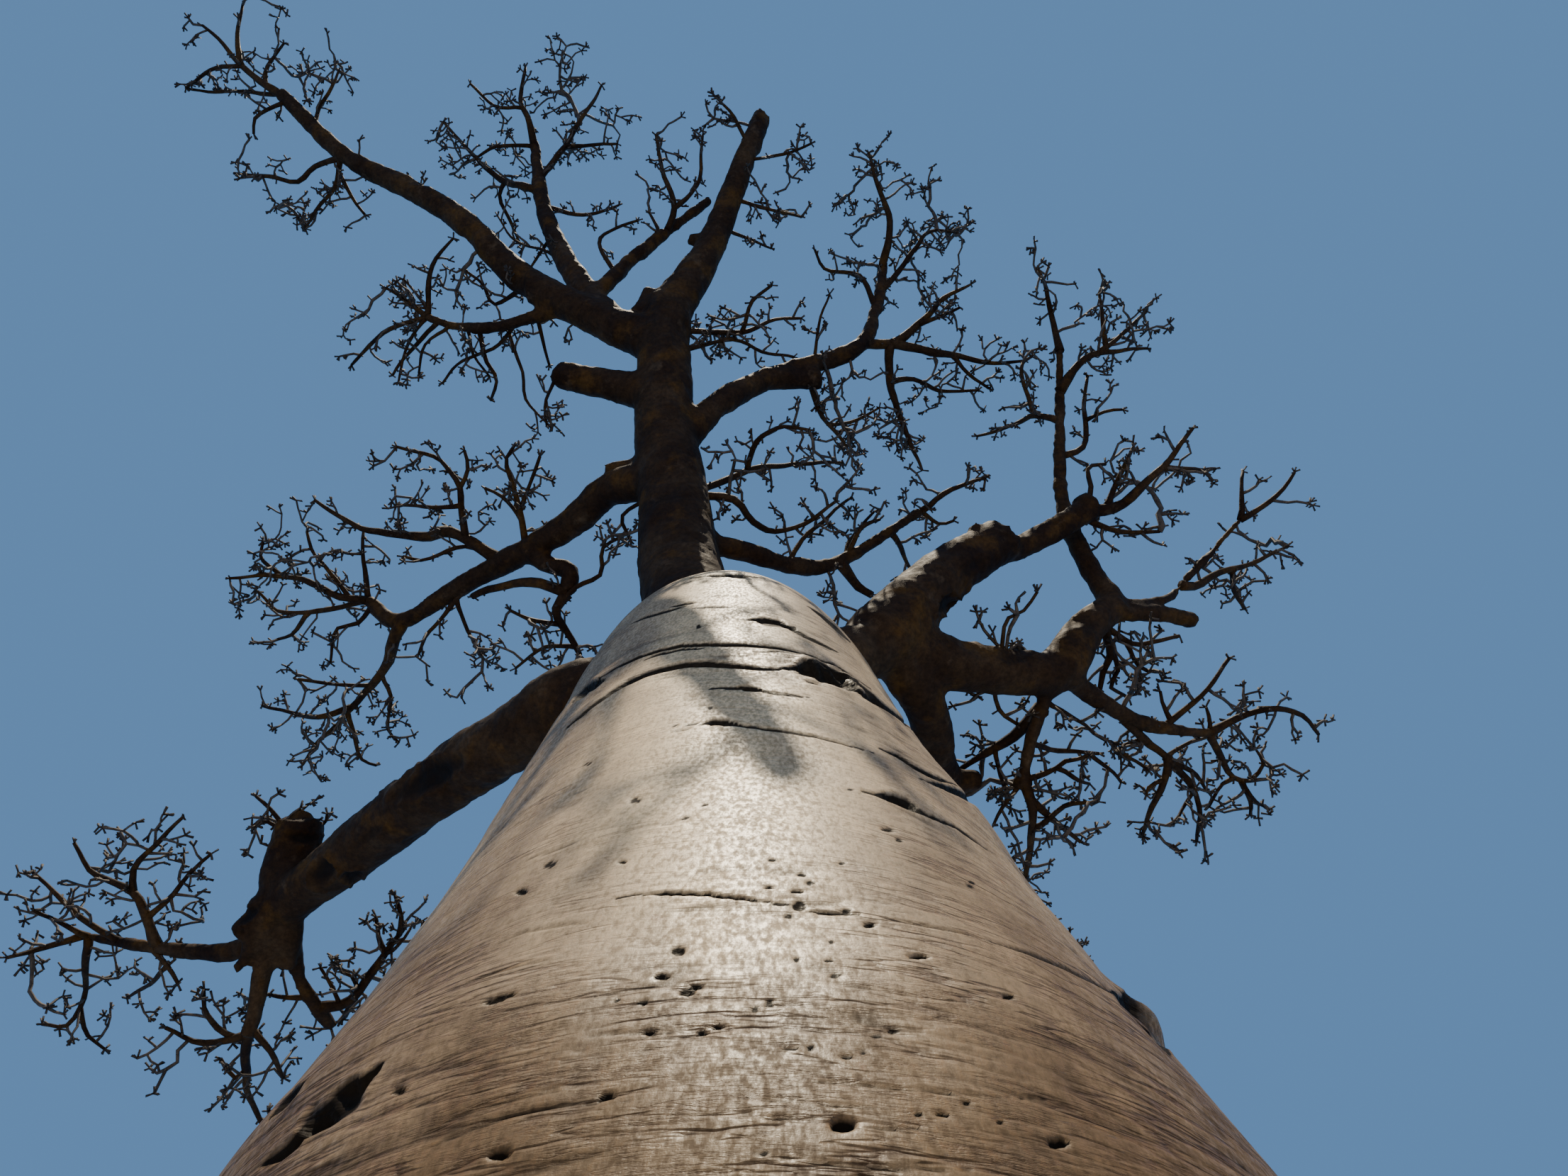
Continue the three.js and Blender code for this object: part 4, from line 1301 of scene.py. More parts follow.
def surface_distances(corners, lines):
    """For each corner the distance to every limb's own surface, and to the trunk's, as columns."""
    columns = []
    for name, _, _, radii, _ in LIMBS:
        points = walk(lines[name], RING_STEP)
        girth = limb_radii(points, radii)
        best = np.full(len(corners), FAR_OFF)
        near = inside_box(corners, points.min(0) - LIMB_MARGIN, points.max(0) + LIMB_MARGIN)
        for start in range(0, len(near), CORNERS_AT_ONCE):
            some = near[start : start + CORNERS_AT_ONCE]
            best[some] = (gaps_between(corners[some], points) - girth).min(axis=1)
        columns.append(best)
    heights, radii = zip(*TRUNK_PROFILE)
    across = np.hypot(corners[:, 0] - TRUNK_LEAN * corners[:, 2], corners[:, 1])
    columns.append(across - np.interp(corners[:, 2], heights, radii))
    return np.stack(columns, axis=1)


def smoothed(corners, faces, weight, rounds):
    """Moves each corner toward the middle of its neighbours, by its weight, a number of times."""
    edges = np.concatenate([faces[:, [k, (k + 1) % 4]] for k in range(4)])
    count = np.bincount(edges[:, 0], minlength=len(corners)).astype(float)
    for _ in range(rounds):
        mean = np.stack(
            [np.bincount(edges[:, 0], corners[edges[:, 1], k], len(corners)) for k in range(3)], 1
        )
        mean /= np.maximum(count, 1)[:, None]
        corners = corners + (mean - corners) * weight[:, None]
    return corners


def make_boughs(lines):
    """The boughs as a few pieces of one grown-together surface."""
    heap = Heap()
    for name, _, _, radii, _ in LIMBS:
        heap.add(*limb_tube(name, lines[name], radii))
    for index, knob in enumerate(KNOBS):
        heap.add(*knob_tube(knob, lines, index))
    heap.add(*trunk_core())
    core = heap.make("bough_core")
    corners, faces = remeshed(core, BOUGH_VOXEL * (1))
    bpy.data.objects.remove(core)
    gaps = surface_distances(corners, lines)
    order = np.sort(gaps, axis=1)
    joint = np.clip(1 - (order[:, 1] - order[:, 0]) / JOINT_REACH, 0, 1)
    corners = smoothed(corners, faces, SMOOTHING + JOINT_SMOOTHING * joint, JOINT_ROUNDS)
    buried = gaps[:, -1] < -BURIED
    return bough_pieces(corners, faces[~np.all(buried[faces], axis=1)], gaps)


def bark_shift(corners):
    """How far the bark of a bough stands out at each corner."""
    out = 0.006 * rough(corners, 0.16, 41, 2)
    out += 0.003 * noise(corners, 0.040, 43)
    ridge = 1 - np.abs(noise(corners, 0.07, 44))
    out += 0.004 * ridge**4
    scar = np.clip(noise(corners, 0.20, 45) - 0.50, 0, 1)
    return out - 0.05 * scar


def seen_scars(corners, normals, gaps):
    """Depth of the seen scars at each corner of the boughs, and the painted shade in them."""
    names = [limb[0] for limb in LIMBS]
    depth, hollow_shade = np.zeros(len(corners)), np.zeros(len(corners))
    facing = np.sum(normals * (np.array(CAMERA_PLACE) - corners), axis=1) > 0
    for name, middle, long, broad, turned, deep in SCARS:
        near = np.flatnonzero(facing & (gaps[:, names.index(name)] < SCAR_REACH))
        away = seen_at(corners[near]) - middle
        turn = math.radians(turned)
        along = away @ (math.cos(turn), -math.sin(turn)) / long
        across = away @ (math.sin(turn), math.cos(turn)) / broad
        s = (along**2 + across**2) * (1 + 0.45 * noise(corners[near], 0.06, 46))
        depth[near] += deep * (np.exp(-(s**2)) - 0.5 * np.exp(-((s - 1.7) ** 2) * 4))
        # Painted shade in the scar, darker the deeper it is
        hollow_shade[near] += min(1, deep / 0.028) * np.exp(-(s**2))
    return depth, np.clip(hollow_shade, 0, 1)


def bough_pieces(corners, faces, gaps):
    """Adds the bark's relief and cuts the surface into pieces along X."""
    normals = surface_normals(corners, faces.tolist())
    depth, hollow_shade = seen_scars(corners, normals, gaps)
    shifted = corners + normals * (bark_shift(corners) - depth)[:, None]
    normals = surface_normals(shifted, faces.tolist())
    count = math.ceil(len(faces) * 2 / PIECE_TRIANGLES)
    rank = np.argsort(np.argsort(shifted[faces[:, 0], 0])) * count // len(faces)
    return [
        cut_piece(f"bough_bark_{k + 1}", shifted, faces[rank == k], normals, {"hollow_shade": hollow_shade})
        for k in range(count)
    ]


# Arms


def mass_boxes():
    """The middle and the half size of every mass."""
    boxes = np.array([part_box(name) for name in MASS_CARRIERS])
    return boxes.mean(axis=1), (boxes[:, 1] - boxes[:, 0]) / 2


def arm_rise(foot, pixel, run, boxes, rng):
    """How far an arm rises over its run: into the mass that is seen at its end, if there is one."""
    middles, halves = boxes
    gaps = np.linalg.norm(seen_at(middles) - pixel, axis=1)
    k = gaps.argmin()
    rise = ARM_RISE * run
    if gaps[k] < MASS_VIEW:
        rise = middles[k, 2] + rng.uniform(-MASS_PART, MASS_PART) * halves[k, 2] - foot[2]
    return min(max(rise, ARM_RISE_LEAST * run), ARM_RISE_MOST * run)


def arm_knots(near, pixels, boxes, rng):
    """The knots of an arm: its foot is that one of the places near it seen closest to its pixel."""
    pixels = np.array(pixels, dtype=float)
    foot = near[np.linalg.norm(seen_at(near) - pixels[0], axis=1).argmin()]
    ahead, _, focal = camera_axes()
    runs = np.linalg.norm(np.diff(pixels, axis=0), axis=1)
    share = np.cumsum(runs) / runs.sum()
    run = runs.sum() * (foot - np.array(CAMERA_PLACE)).dot(ahead) / focal
    rise = arm_rise(foot, pixels[-1], run, boxes, rng)
    heights = foot[2] + rise * share + ARM_UNEVEN * rng.normal(size=len(share))
    knots = [point_seen_at(pixel, height) for pixel, height in zip(pixels[1:], heights)]
    return np.array([foot] + knots)


def arm_lines(lines):
    """Every arm as its points and its radius at foot and tip."""
    boxes = mass_boxes()
    arms = []
    for carrier, traces in ARMS.items():
        near = walk(lines[carrier], TWIGLET_STEP)
        rng = rng_for(carrier)
        for radii, *pixels in traces:
            points = walk(arm_knots(near, pixels, boxes, rng), TWIG_STEP)
            sway = [noise(points, SWAY_SIZE, seed) for seed in (51, 52, 53)]
            points[1:] += SWAY * np.stack(sway, axis=1)[1:]
            arms.append((points, radii))
            near = np.vstack((near, points))
    return arms


def arm_girth(points, radii):
    """Radius along an arm, uneven, with a collar at its foot."""
    return limb_radii(points, radii) * (1 + ARM_SWING * noise(points, ARM_SWING_SIZE, 54))


def make_arms(arms):
    """The arms' wood as one piece."""
    heap = Heap()
    for index, (points, radii) in enumerate(arms):
        girth = arm_girth(points, radii)
        heap.add(*tube(points, girth, ARM_SIDES, seed=60 + index, wobble=ARM_WOBBLE))
    return heap.make("arms")


# Twigs


def thinned(places, spacing):
    """Drops each place that is closer than the spacing to one before it."""
    chosen = np.zeros((0, 3))
    for place in places:
        if not len(chosen) or np.min(np.linalg.norm(chosen - place, axis=1)) > spacing:
            chosen = np.vstack((chosen, place))
    return chosen


def goals_in_mass(node, rng):
    """Places inside a mass that twigs grow toward."""
    tree = BVHTree.FromObject(node, bpy.context.evaluated_depsgraph_get())
    low, high = (np.array(corner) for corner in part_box(node.name))
    inside = []
    for place in low + (high - low) * rng.random((MASS_TRIES, 3)):
        nearest, normal, _, _ = tree.find_nearest(Vector(place))
        if (Vector(place) - nearest).dot(normal) < 0:
            inside.append(place)
    return thinned(inside, TIP_SPACING)


def goals_in_spray(middle, half, rng):
    """Places inside an egg-shaped spray that twigs grow toward."""
    way = unit(rng.normal(size=(SPRAY_TRIES, 3)))
    places = middle + way * half * rng.random((SPRAY_TRIES, 1)) ** (1 / 3)
    return thinned(places, TIP_SPACING * 0.9)


def spray_starts(woods, goals):
    """Places on limbs and arms that a spray grows from: those that its goals are near."""
    points = np.concatenate([walk(points, START_SPACING) for points, _ in woods])
    gaps = gaps_between(points, goals).min(axis=1)
    return points[gaps < max(gaps.min() + START_SLACK, START_REACH)]


def clear_of(goals, woods):
    """The goals that aren't in or beside the wood of limbs and arms."""
    for points, radii in woods:
        points = walk(points, TWIGLET_STEP)
        gaps = gaps_between(goals, points) - np.linspace(*radii, len(points))
        goals = goals[gaps.min(axis=1) > CLEARANCE]
    return goals


def growth_way(ways, ahead, rng):
    """The direction of one step of growth: toward the goals, steady, and wandering a little."""
    pull = ways.mean(axis=0)
    if np.linalg.norm(pull) < LEAST_PULL:
        pull = ways[0]
    return unit(unit(pull) + STEADINESS * ahead + WANDER * rng.normal(size=3))


def grow(starts, goals, rng):
    """Grows stems step by step from the starts toward the goals: places and each one's parent."""
    places = np.array(starts)
    parents = [-1] * len(places)
    waiting = goals.copy()
    for _ in range(GROWTH_ROUNDS):
        if not len(waiting):
            break
        nearest = gaps_between(waiting, places).argmin(axis=1)
        added = []
        for k in np.unique(nearest):
            ahead = unit(places[k] - places[parents[k]]) if parents[k] >= 0 else np.zeros(3)
            way = growth_way(unit(waiting[nearest == k] - places[k]), ahead, rng)
            step = places[k] + way * TWIG_STEP
            if np.min(np.linalg.norm(places - step, axis=1)) > TWIG_STEP * 0.5:
                added.append(step)
                parents.append(int(k))
        if not added:
            break
        places = np.vstack([places] + added)
        waiting = waiting[gaps_between(waiting, places).min(axis=1) > CATCH]
    return places, np.array(parents)


def twig_radii(parents):
    """Radius at each place by the pipe rule, from the ends back to the starts."""
    area = np.zeros(len(parents))
    children = np.bincount(parents[parents >= 0], minlength=len(parents))
    for k in range(len(parents) - 1, -1, -1):
        if children[k] == 0:
            area[k] = TIP_RADIUS**PIPE_POWER
        if parents[k] >= 0:
            area[parents[k]] += area[k] * 1.01
    return area ** (1 / PIPE_POWER)


def strands(parents, radii):
    """Lines of place numbers: each starts at a fork or a start and follows the thickest child."""
    heirs = {}
    for k, parent in enumerate(parents):
        if parent >= 0 and (parent not in heirs or radii[k] > radii[heirs[parent]]):
            heirs[parent] = k
    lines = []
    for k, parent in enumerate(parents):
        if parent < 0 or (heirs[parent] == k and parents[parent] >= 0):
            continue
        line = [parent, k]
        while line[-1] in heirs:
            line.append(heirs[line[-1]])
        lines.append(line)
    return lines


def all_spurs(spurs):
    """Corners and faces of many short spurs at once, each thickest at its end."""
    feet, ways, lengths, widths = (np.array(column) for column in zip(*spurs))
    across = unit(np.cross(ways, ODD_WAY))
    ring = spokes(across, np.cross(ways, across), SPUR_SIDES)
    rings = []
    for part, width in ((-0.1, 0.85), (1.0, 1.15)):
        middle = feet + ways * part * lengths[:, None]
        rings.append(middle[:, None] + ring * (widths * width)[:, None, None])
    corners = np.stack(rings, axis=1).reshape(-1, 3)
    one = tube_faces(2, SPUR_SIDES)
    starts = range(0, len(corners), 2 * SPUR_SIDES)
    return corners, [[i + start for i in face] for start in starts for face in one]


def bud_star(spurs, place, ahead, rng):
    """A star of short spurs round the end of a twig."""
    for _ in range(rng.integers(*STAR_SPURS)):
        way = unit(unit(rng.normal(size=3)) + 0.5 * ahead)
        length = SPUR_LENGTH * rng.uniform(0.6, 1.15)
        spurs.append((place, way, length, TIP_RADIUS * rng.uniform(0.7, 0.95)))


def crooked_twig(twigs, spurs, foot, way, length, thick, rng):
    """A crooked twig with a star of spurs at its end: its places and its last direction."""
    count = max(2, round(length / TWIGLET_STEP))
    points = [foot]
    for _ in range(count):
        way = unit(way + TWIG_BEND * rng.normal(size=3) + (0, 0, TWIG_LIFT))
        points.append(points[-1] + way * length / count)
    sides = 4 if length > TWIGLET_LENGTH[1] else 3
    twigs.add(*tube(np.array(points), np.linspace(thick, TIP_RADIUS * 0.85, count + 1), sides))
    bud_star(spurs, points[-1], way, rng)
    return points, way


def side_twig(twigs, spurs, foot, way, length, thick, rng):
    """A twig that carries a few twiglets."""
    points, ahead = crooked_twig(twigs, spurs, foot, way, length, thick, rng)
    for place in points[1:-1]:
        if rng.random() < TWIGLET_CHANCE:
            out = unit(unit(rng.normal(size=3)) + 0.6 * ahead)
            short = rng.uniform(*TWIGLET_LENGTH)
            crooked_twig(twigs, spurs, place, out, short, TIP_RADIUS * 0.9, rng)


def dress(twigs, spurs, points, girth, chance, rng):
    """Side twigs to left and right in turn along a stem, spurs between them, a star at its end."""
    turn = rng.uniform(0, 6)
    for k in range(1, len(points) - 1):
        ahead = unit(points[k + 1] - points[k - 1])
        across = unit(np.cross(ahead, ODD_WAY))
        other = np.cross(ahead, across)
        if rng.random() < chance and girth[k] < SIDE_TWIG_STEM:
            turn += math.pi + rng.uniform(-0.7, 0.7)
            out = across * math.cos(turn) + other * math.sin(turn)
            way = unit(out + ahead * rng.uniform(0.1, 0.7))
            length = rng.uniform(*SIDE_TWIG_LENGTH)
            thick = min(girth[k], TIP_RADIUS * 1.25)
            side_twig(twigs, spurs, points[k], way, length, thick, rng)
        if rng.random() < SPUR_CHANCE:
            way = unit(rng.normal(size=3) + 0.4 * ahead)
            spurs.append((points[k], way, girth[k] + rng.uniform(0.015, 0.035), TIP_RADIUS * 0.8))
    bud_star(spurs, points[-1], unit(points[-1] - points[-2]), rng)


def make_spray(twigs, spurs, starts, goals, rng):
    """Grows one spray and adds its twigs and spurs."""
    places, parents = grow(starts, goals, rng)
    radii = twig_radii(parents)
    crooked = places + rng.normal(size=places.shape) * STEM_BEND * (parents >= 0)[:, None]
    for line in strands(parents, radii):
        points = crooked[line]
        girth = radii[line].copy()
        girth[0] = min(girth[0], girth[1] * 1.3)
        girth *= 1 + STEM_SWING * rng.normal(size=len(girth))
        twigs.add(*tube(points, girth, 7 if girth[0] > STOUT_STEM else 5))
        dress(twigs, spurs, points, girth, SIDE_TWIG_CHANCE, rng)


def sprays(lines, arms):
    """Name, starts and goals of every spray: one for each mass, then the small ones."""
    radii = {name: pair for name, _, _, pair, _ in LIMBS}
    for name, carrier in MASS_CARRIERS.items():
        woods = [(lines[carrier], radii[carrier])] + arms
        goals = clear_of(goals_in_mass(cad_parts[name], rng_for(name)), woods)
        if len(goals):
            yield name, spray_starts(woods, goals), goals
    for index, (carrier, t, reach, half) in enumerate(SMALL_SPRAYS):
        name = f"{carrier}_{index}"
        foot = curve_point(lines[carrier], t)[0]
        goals = goals_in_spray(foot + reach_vector(reach), np.array(half), rng_for(name))
        yield name, [foot], clear_of(goals, [(lines[carrier], radii[carrier])])


def make_twigs(lines, arms):
    """The side twigs of the arms and all the sprays, joined into pieces of twigs and of spurs."""
    heaps = [Heap()]
    spurs = []
    for index, (points, radii) in enumerate(arms):
        girth = arm_girth(points, radii)
        dress(heaps[0], spurs, points, girth, ARM_TWIG_CHANCE, rng_for(f"arm_{index}"))
    for name, starts, goals in sprays(lines, arms):
        if heaps[-1].triangles > PIECE_TRIANGLES * 0.9:
            heaps.append(Heap())
        make_spray(heaps[-1], spurs, starts, goals, rng_for(name))
    pieces = math.ceil(len(spurs) * (2 * SPUR_SIDES + 2) / PIECE_TRIANGLES)
    share = math.ceil(len(spurs) / pieces)
    return {
        "twigs": [heap.make(f"twigs_{k + 1}") for k, heap in enumerate(heaps)],
        "buds": [
            new_object(f"buds_{k + 1}", *all_spurs(spurs[k * share : (k + 1) * share]))
            for k in range(pieces)
        ],
    }


# Materials

# Patterns in the bark: scale, how many times finer they are upward, detail and roughness
TRUNK_PATTERNS = {
    "wrinkles": (4.6, 5.0, 3, 0.5),
    "fine": (17.0, 6.0, 4, 0.6),
    "patches": (3.2, 2.2, 4, 0.6),
    "gaps": (9.0, 1.6, 3, 0.6),
    "mottle": (30.0, 1.4, 5, 0.75),
    "streaks": (12.0, 0.14, 4, 0.6),
    "flecks": (95.0, 0.45, 3, 0.65),
    "dashes": (42.0, 4.2, 2, 0.5),
    "specks": (17.0, 0.8, 3, 0.55),
}
BOUGH_PATTERNS = {
    "broad": (2.6, 1, 5, 0.6),
    "patches": (4.5, 1, 4, 0.6),
    "lichen": (7.5, 1, 5, 0.65),
    "fine": (38.0, 1, 5, 0.7),
    "grain": (14.0, 1, 5, 0.65),
}

# Colours of the trunk's bark from brown to cream, the cream also carrying the painted highlight up
# its front, and of its wrinkles' painted shade, its dashes, its rust, and the painted shade in its
# grooves and pits
TRUNK_TONES_AND_SHEEN = (
    (0.0, (0.150, 0.087, 0.034)),
    (0.35, (0.262, 0.168, 0.078)),
    (0.65, (0.445, 0.306, 0.155)),
    (1.0, (0.760, 0.540, 0.275)),
)
# Painted shade along the broad and thin wrinkle lines
WRINKLE_SHADE_TINT = (0.48, 0.39, 0.31)
THIN_WRINKLE_SHADE_TINT = (0.60, 0.50, 0.42)
DASH_COLOUR = (0.10, 0.068, 0.045)
RUST_COLOUR = (0.26, 0.110, 0.040)
# Painted shade in the bark's grooves, pits and wrinkles
TRUNK_HOLLOW_SHADE = (0.010, 0.0075, 0.005)

# Tints that the patterns multiply the trunk's colour by, and how far
TRUNK_TINTS = (
    ("mottle", ((0.30, (0.73, 0.69, 0.64)), (0.50, 1.0), (0.72, (1.20, 1.20, 1.19))), 0.7),
    ("streaks", ((0.34, (0.80, 0.78, 0.76)), (0.64, (1.16, 1.16, 1.17))), 0.8),
    ("flecks", ((0.36, (0.66, 0.63, 0.58)), (0.50, 1.0), (0.63, 1.38)), 0.9),
)

# Colours of the boughs' bark, dark to light, and of its ochre and grey patches, the real brown
# darkened toward black as painted shade of the backlit crown; and the painted shade in its scars
BOUGH_SHADED_TONES = (
    (0.36, (0.022, 0.010, 0.004)),
    (0.54, (0.042, 0.022, 0.009)),
    (0.70, (0.078, 0.046, 0.021)),
)
OCHRE = (0.105, 0.050, 0.009)
LICHEN_GREY = (0.130, 0.086, 0.048)
# Painted shade in the boughs' scars
BOUGH_HOLLOW_SHADE = (0.008, 0.006, 0.005)


def as_colour(value):
    """A colour with its alpha; a single number stands for a grey."""
    return (*value, 1) if isinstance(value, tuple) else (value, value, value, 1)


def material(name, colour, roughness):
    """A new material with its node tree and shader."""
    made = bpy.data.materials.new(name)
    made.use_nodes = True
    shader = made.node_tree.nodes["Principled BSDF"]
    shader.inputs["Base Color"].default_value = as_colour(colour)
    shader.inputs["Roughness"].default_value = roughness
    return made, made.node_tree, shader


def noise_node(tree, scale, upward=1, detail=4, roughness=0.6):
    """A noise texture in object space, so many times finer upward."""
    place = tree.nodes.new("ShaderNodeTexCoord")
    mapping = tree.nodes.new("ShaderNodeMapping")
    mapping.inputs["Scale"].default_value = (1, 1, upward)
    texture = tree.nodes.new("ShaderNodeTexNoise")
    for name, value in (("Scale", scale), ("Detail", detail), ("Roughness", roughness)):
        texture.inputs[name].default_value = value
    tree.links.new(place.outputs["Object"], mapping.inputs["Vector"])
    tree.links.new(mapping.outputs["Vector"], texture.inputs["Vector"])
    return texture.outputs["Fac"]


def ramp(tree, source, stops):
    """A colour ramp from a number."""
    node = tree.nodes.new("ShaderNodeValToRGB")
    elements = node.color_ramp.elements
    while len(elements) < len(stops):
        elements.new(0.5)
    for element, (position, colour) in zip(elements, stops):
        element.position = position
        element.color = as_colour(colour)
    tree.links.new(source, node.inputs["Fac"])
    return node.outputs["Color"]


def plug(tree, value, socket):
    """Links an output to a socket, or sets the socket to a value."""
    if isinstance(value, bpy.types.NodeSocket):
        tree.links.new(value, socket)
    else:
        socket.default_value = value


def mixed(tree, a, b, factor, blend="MIX"):
    """Two colours mixed by a factor that is a number or an output."""
    node = tree.nodes.new("ShaderNodeMix")
    node.data_type = "RGBA"
    node.blend_type = blend
    plug(tree, factor, node.inputs[0])
    for value, socket in ((a, node.inputs[6]), (b, node.inputs[7])):
        given = isinstance(value, bpy.types.NodeSocket)
        plug(tree, value if given else as_colour(value), socket)
    return node.outputs[2]


def times(tree, a, b, factor=1.0):
    """A colour multiplied by another, as far as the factor says."""
    return mixed(tree, a, b, factor, "MULTIPLY")


def bump(tree, shader, sources):
    """Bumps from numbers, each with its strength and distance in metres, one on the other."""
    before = None
    for source, strength, distance in sources:
        node = tree.nodes.new("ShaderNodeBump")
        node.inputs["Strength"].default_value = strength
        node.inputs["Distance"].default_value = distance
        tree.links.new(source, node.inputs["Height"])
        if before is not None:
            tree.links.new(before, node.inputs["Normal"])
        before = node.outputs["Normal"]
    tree.links.new(before, shader.inputs["Normal"])


def attribute(tree, name):
    """A number stored on the mesh's corners."""
    node = tree.nodes.new("ShaderNodeAttribute")
    node.attribute_name = name
    return node.outputs["Fac"]


def wrinkle_lines(tree, pattern, tone_and_sheen):
    """Masks of broad and thin level wrinkles of the trunk, in patches, fainter where the bark is
    pale and under the painted highlight; they set the painted shade and the bumps of the creases.
    """
    side = ramp(tree, tone_and_sheen, ((0.30, 1.0), (0.75, 0.25)))
    where = times(tree, ramp(tree, pattern["patches"], ((0.38, 0.0), (0.58, 1.0))), side)
    broken = times(tree, ramp(tree, pattern["gaps"], ((0.42, 0.0), (0.60, 1.0))), side)
    line = ramp(tree, pattern["wrinkles"], ((0.43, 0.0), (0.50, 1.0), (0.57, 0.0)))
    thin = ramp(tree, pattern["fine"], ((0.42, 0.0), (0.50, 0.75), (0.58, 0.0)))
    return times(tree, line, where), times(tree, thin, broken)


def trunk_colour(tree, pattern, tone_and_sheen, line, thin):
    """Brown to cream bark with a painted highlight band up its front, painted shade along its
    wrinkles, pale flecks, dark dashes and rust.
    """
    colour = ramp(tree, tone_and_sheen, TRUNK_TONES_AND_SHEEN)
    # Painted shade along the wrinkle lines
    colour = times(tree, times(tree, colour, WRINKLE_SHADE_TINT, line), THIN_WRINKLE_SHADE_TINT, thin)
    for name, stops, share in TRUNK_TINTS:
        colour = times(tree, colour, ramp(tree, pattern[name], stops), share)
    dashes = ramp(tree, pattern["dashes"], ((0.25, 0.5), (0.32, 0.0)))
    rust = ramp(tree, pattern["specks"], ((0.70, 0.0), (0.78, 0.5)))
    return mixed(tree, mixed(tree, colour, DASH_COLOUR, dashes), RUST_COLOUR, rust)


def trunk_material():
    """Satin bark: brown to cream with a painted highlight band up the front, level wrinkles with
    painted shade, pale flecks, dashes, rust, and painted shade in grooves and pits.
    """
    made, tree, shader = material("trunk_bark", (0.40, 0.33, 0.27), 0.45)
    pattern = {name: noise_node(tree, *row) for name, row in TRUNK_PATTERNS.items()}
    tone_and_sheen = attribute(tree, "tone_and_sheen")
    line, thin = wrinkle_lines(tree, pattern, tone_and_sheen)
    # Painted shade in grooves, pits and wrinkles: the colour goes near black there
    deep = ramp(tree, attribute(tree, "hollow_shade"), ((0.10, 0.0), (0.55, 0.97)))
    colour = mixed(tree, trunk_colour(tree, pattern, tone_and_sheen, line, thin), TRUNK_HOLLOW_SHADE, deep)
    tree.links.new(colour, shader.inputs["Base Color"])
    gloss = ramp(tree, pattern["flecks"], ((0.38, 0.72), (0.62, 0.42)))
    tree.links.new(gloss, shader.inputs["Roughness"])
    shine = mixed(tree, ramp(tree, tone_and_sheen, ((0.10, 0.20), (0.60, 0.50))), 0.02, deep)
    tree.links.new(shine, shader.inputs["Specular IOR Level"])
    ridge, thin_ridge = mixed(tree, 1.0, 0.0, line), mixed(tree, 1.0, 0.0, thin)
    bump(tree, shader, ((ridge, 0.6, 0.006), (thin_ridge, 0.5, 0.002),
                        (pattern["mottle"], 0.4, 0.002), (pattern["flecks"], 0.5, 0.0012)))
    return made


def bough_material():
    """Dark bark: the real brown darkened to near black as painted shade of the backlit crown, with
    ochre and grey patches and painted shade in scars.
    """
    made, tree, shader = material("bough_bark", (0.05, 0.04, 0.03), 0.7)
    pattern = {name: noise_node(tree, *row) for name, row in BOUGH_PATTERNS.items()}
    ochre = ramp(tree, pattern["patches"], ((0.52, 0.0), (0.66, 0.7)))
    grey = ramp(tree, pattern["lichen"], ((0.60, 0.0), (0.72, 0.5)))
    mottle = ramp(tree, pattern["fine"], ((0.35, (0.55, 0.53, 0.50)), (0.62, 1.25)))
    # The bark's brown is painted near black: painted shade, as of boughs seen against the sky
    colour = mixed(tree, ramp(tree, pattern["broad"], BOUGH_SHADED_TONES), OCHRE, ochre)
    colour = times(tree, mixed(tree, colour, LICHEN_GREY, grey), mottle, 0.85)
    # Painted shade in the scars
    deep = ramp(tree, attribute(tree, "hollow_shade"), ((0.10, 0.0), (0.75, 0.85)))
    tree.links.new(mixed(tree, colour, BOUGH_HOLLOW_SHADE, deep), shader.inputs["Base Color"])
    gloss = ramp(tree, pattern["grain"], ((0.35, 0.78), (0.7, 0.56)))
    tree.links.new(gloss, shader.inputs["Roughness"])
    shader.inputs["Specular IOR Level"].default_value = 0.12
    bump(tree, shader, ((pattern["grain"], 0.7, 0.009), (pattern["fine"], 0.6, 0.004)))
    return made


def twig_material(name, dark, light):
    """Thin bark of twigs and buds."""
    made, tree, shader = material(name, dark, 0.75)
    mottle = ramp(tree, noise_node(tree, 26.0, detail=3), ((0.38, dark), (0.64, light)))
    tree.links.new(mottle, shader.inputs["Base Color"])
    bump(tree, shader, ((noise_node(tree, 120.0, detail=3), 0.6, 0.002),))
    return made


# Scene

# Each sun: the way toward it, strength, spread in degrees and colour
SUNS = {
    "sun": ((-0.024, -0.306, 0.952), 4.9, 0.6, (1.0, 0.87, 0.66)),
    "glow_from_ground": ((0, -0.87, -0.5), 0.4, 60, (1.0, 0.66, 0.42)),
}
SKY_COLOUR = (0.23, 0.49, 0.95)
SKY_STRENGTH = 0.5
FLOOR_RADIUS = 6
FLOOR_SIDES = 96
FLOOR_COLOUR = (0.55, 0.53, 0.50)
FLOOR_TONES = ((0.3, (0.50, 0.485, 0.46)), (0.7, (0.56, 0.545, 0.52)))


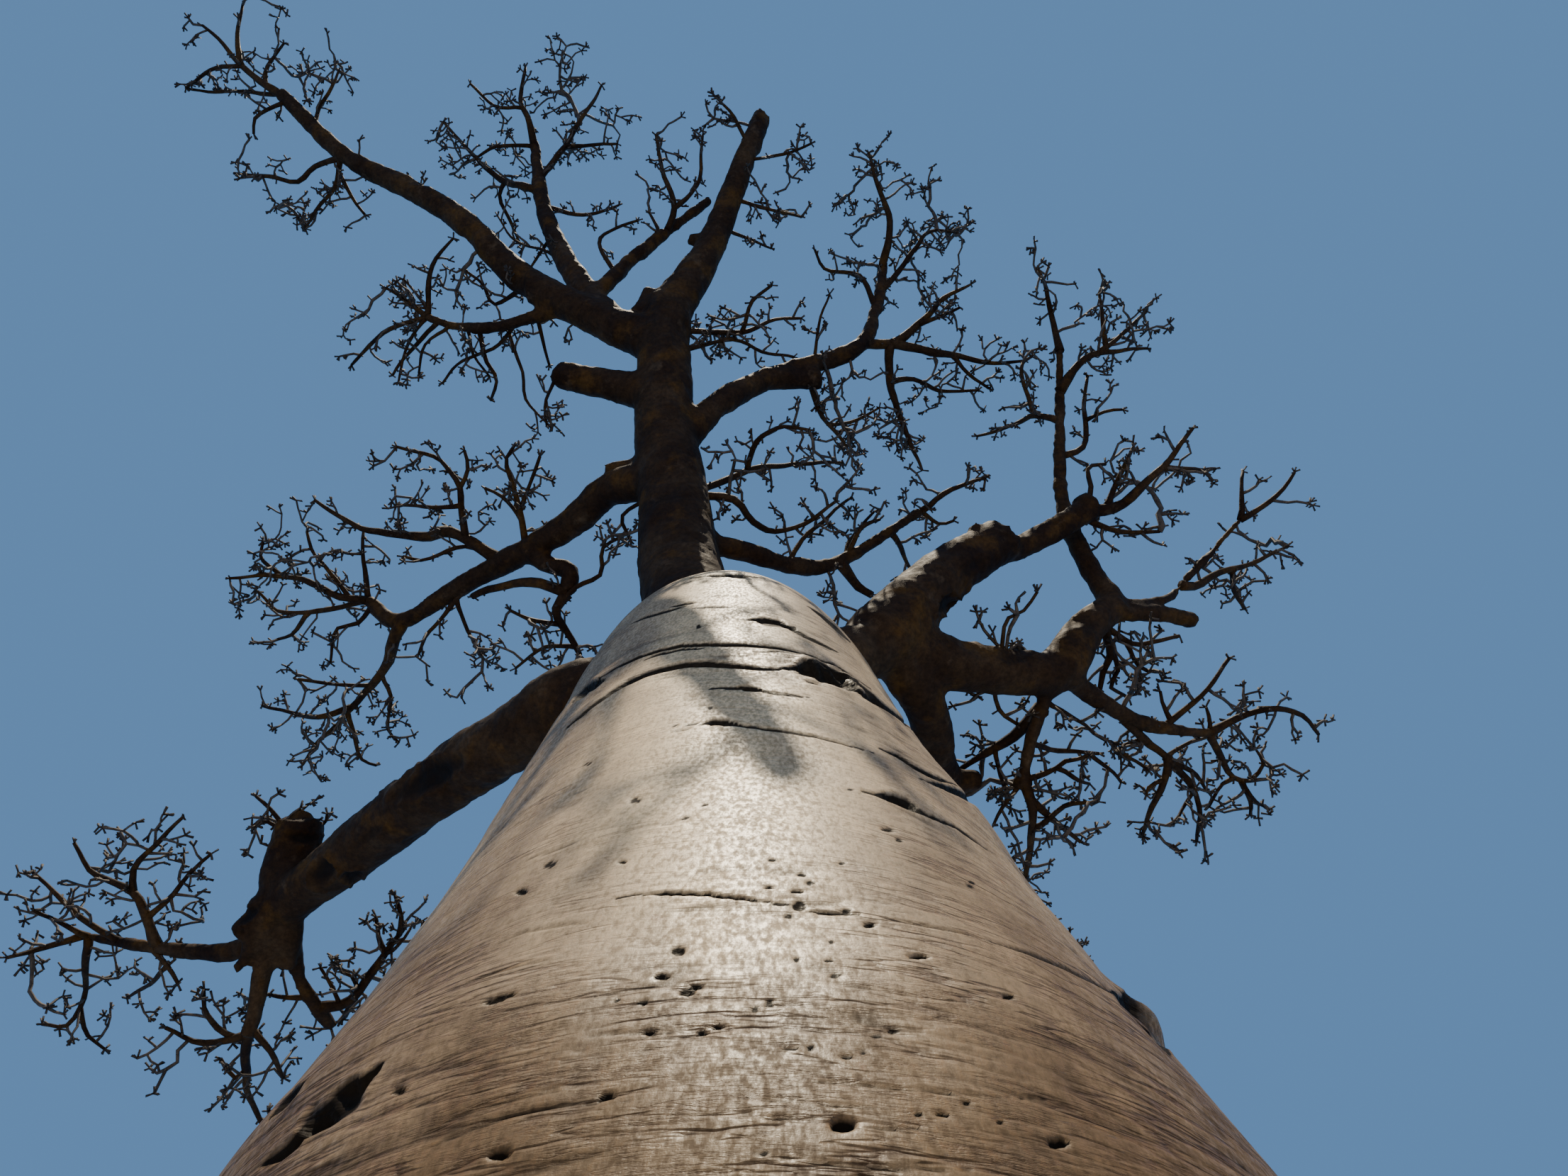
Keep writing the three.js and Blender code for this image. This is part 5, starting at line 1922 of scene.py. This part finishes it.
def add_camera():
    """The camera beside the foot of the trunk, looking up."""
    data = bpy.data.cameras.new("camera")
    data.lens = CAMERA_LENS
    data.sensor_width = SENSOR_WIDTH
    data.clip_start = 0.05
    data.clip_end = 200
    camera = add_object("camera", data)
    camera.location = CAMERA_PLACE
    camera.rotation_euler = (math.radians(90 + CAMERA_PITCH), 0, 0)
    bpy.context.scene.camera = camera


def add_sun(name, toward, strength, spread, colour):
    """Light from one direction."""
    data = bpy.data.lights.new(name, "SUN")
    data.energy = strength
    data.angle = math.radians(spread)
    data.color = colour
    sun = add_object(name, data)
    sun.rotation_euler = Vector(toward).to_track_quat("Z", "Y").to_euler()


def add_world():
    """A plain sky that lights the shade."""
    world = bpy.data.worlds.new("sky")
    world.use_nodes = True
    background = world.node_tree.nodes["Background"]
    background.inputs["Color"].default_value = as_colour(SKY_COLOUR)
    background.inputs["Strength"].default_value = SKY_STRENGTH
    bpy.context.scene.world = world


def add_floor():
    """A plain pale floor."""
    corners = level_ring(FLOOR_RADIUS, 0, FLOOR_SIDES)
    floor = new_object("floor", corners, [list(range(FLOOR_SIDES))], smooth=False)
    made, tree, shader = material("floor", FLOOR_COLOUR, 0.9)
    tree.links.new(ramp(tree, noise_node(tree, 1.5), FLOOR_TONES), shader.inputs["Base Color"])
    floor.data.materials.append(made)


def finish_piece(piece, made, nodes):
    """Puts the material on a piece, rides it on the tree's body and hides the model's parts that it
    stands in for.
    """
    piece.data.materials.append(made)
    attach(piece, "root")
    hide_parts(*nodes)


def build():
    """The whole scene."""
    add_camera()
    add_world()
    for name, row in SUNS.items():
        add_sun(name, *row)
    add_floor()
    lines = centre_lines()
    bark = trunk_material()
    for piece in make_trunk():
        finish_piece(piece, bark, ("trunk",))
    bark = bough_material()
    limb_names = [limb[0] for limb in LIMBS]
    masses = list(MASS_CARRIERS)
    for piece in make_boughs(lines):
        finish_piece(piece, bark, limb_names)
    arms = arm_lines(lines)
    made = make_twigs(lines, arms)
    finish_piece(make_arms(arms), bark, masses)
    looks = {
        "twigs": twig_material("twig_bark", (0.055, 0.039, 0.026), (0.115, 0.086, 0.060)),
        "buds": twig_material("bud_bark", (0.030, 0.021, 0.014), (0.064, 0.046, 0.031)),
    }
    for kind, pieces in made.items():
        for piece in pieces:
            finish_piece(piece, looks[kind], masses)


build()
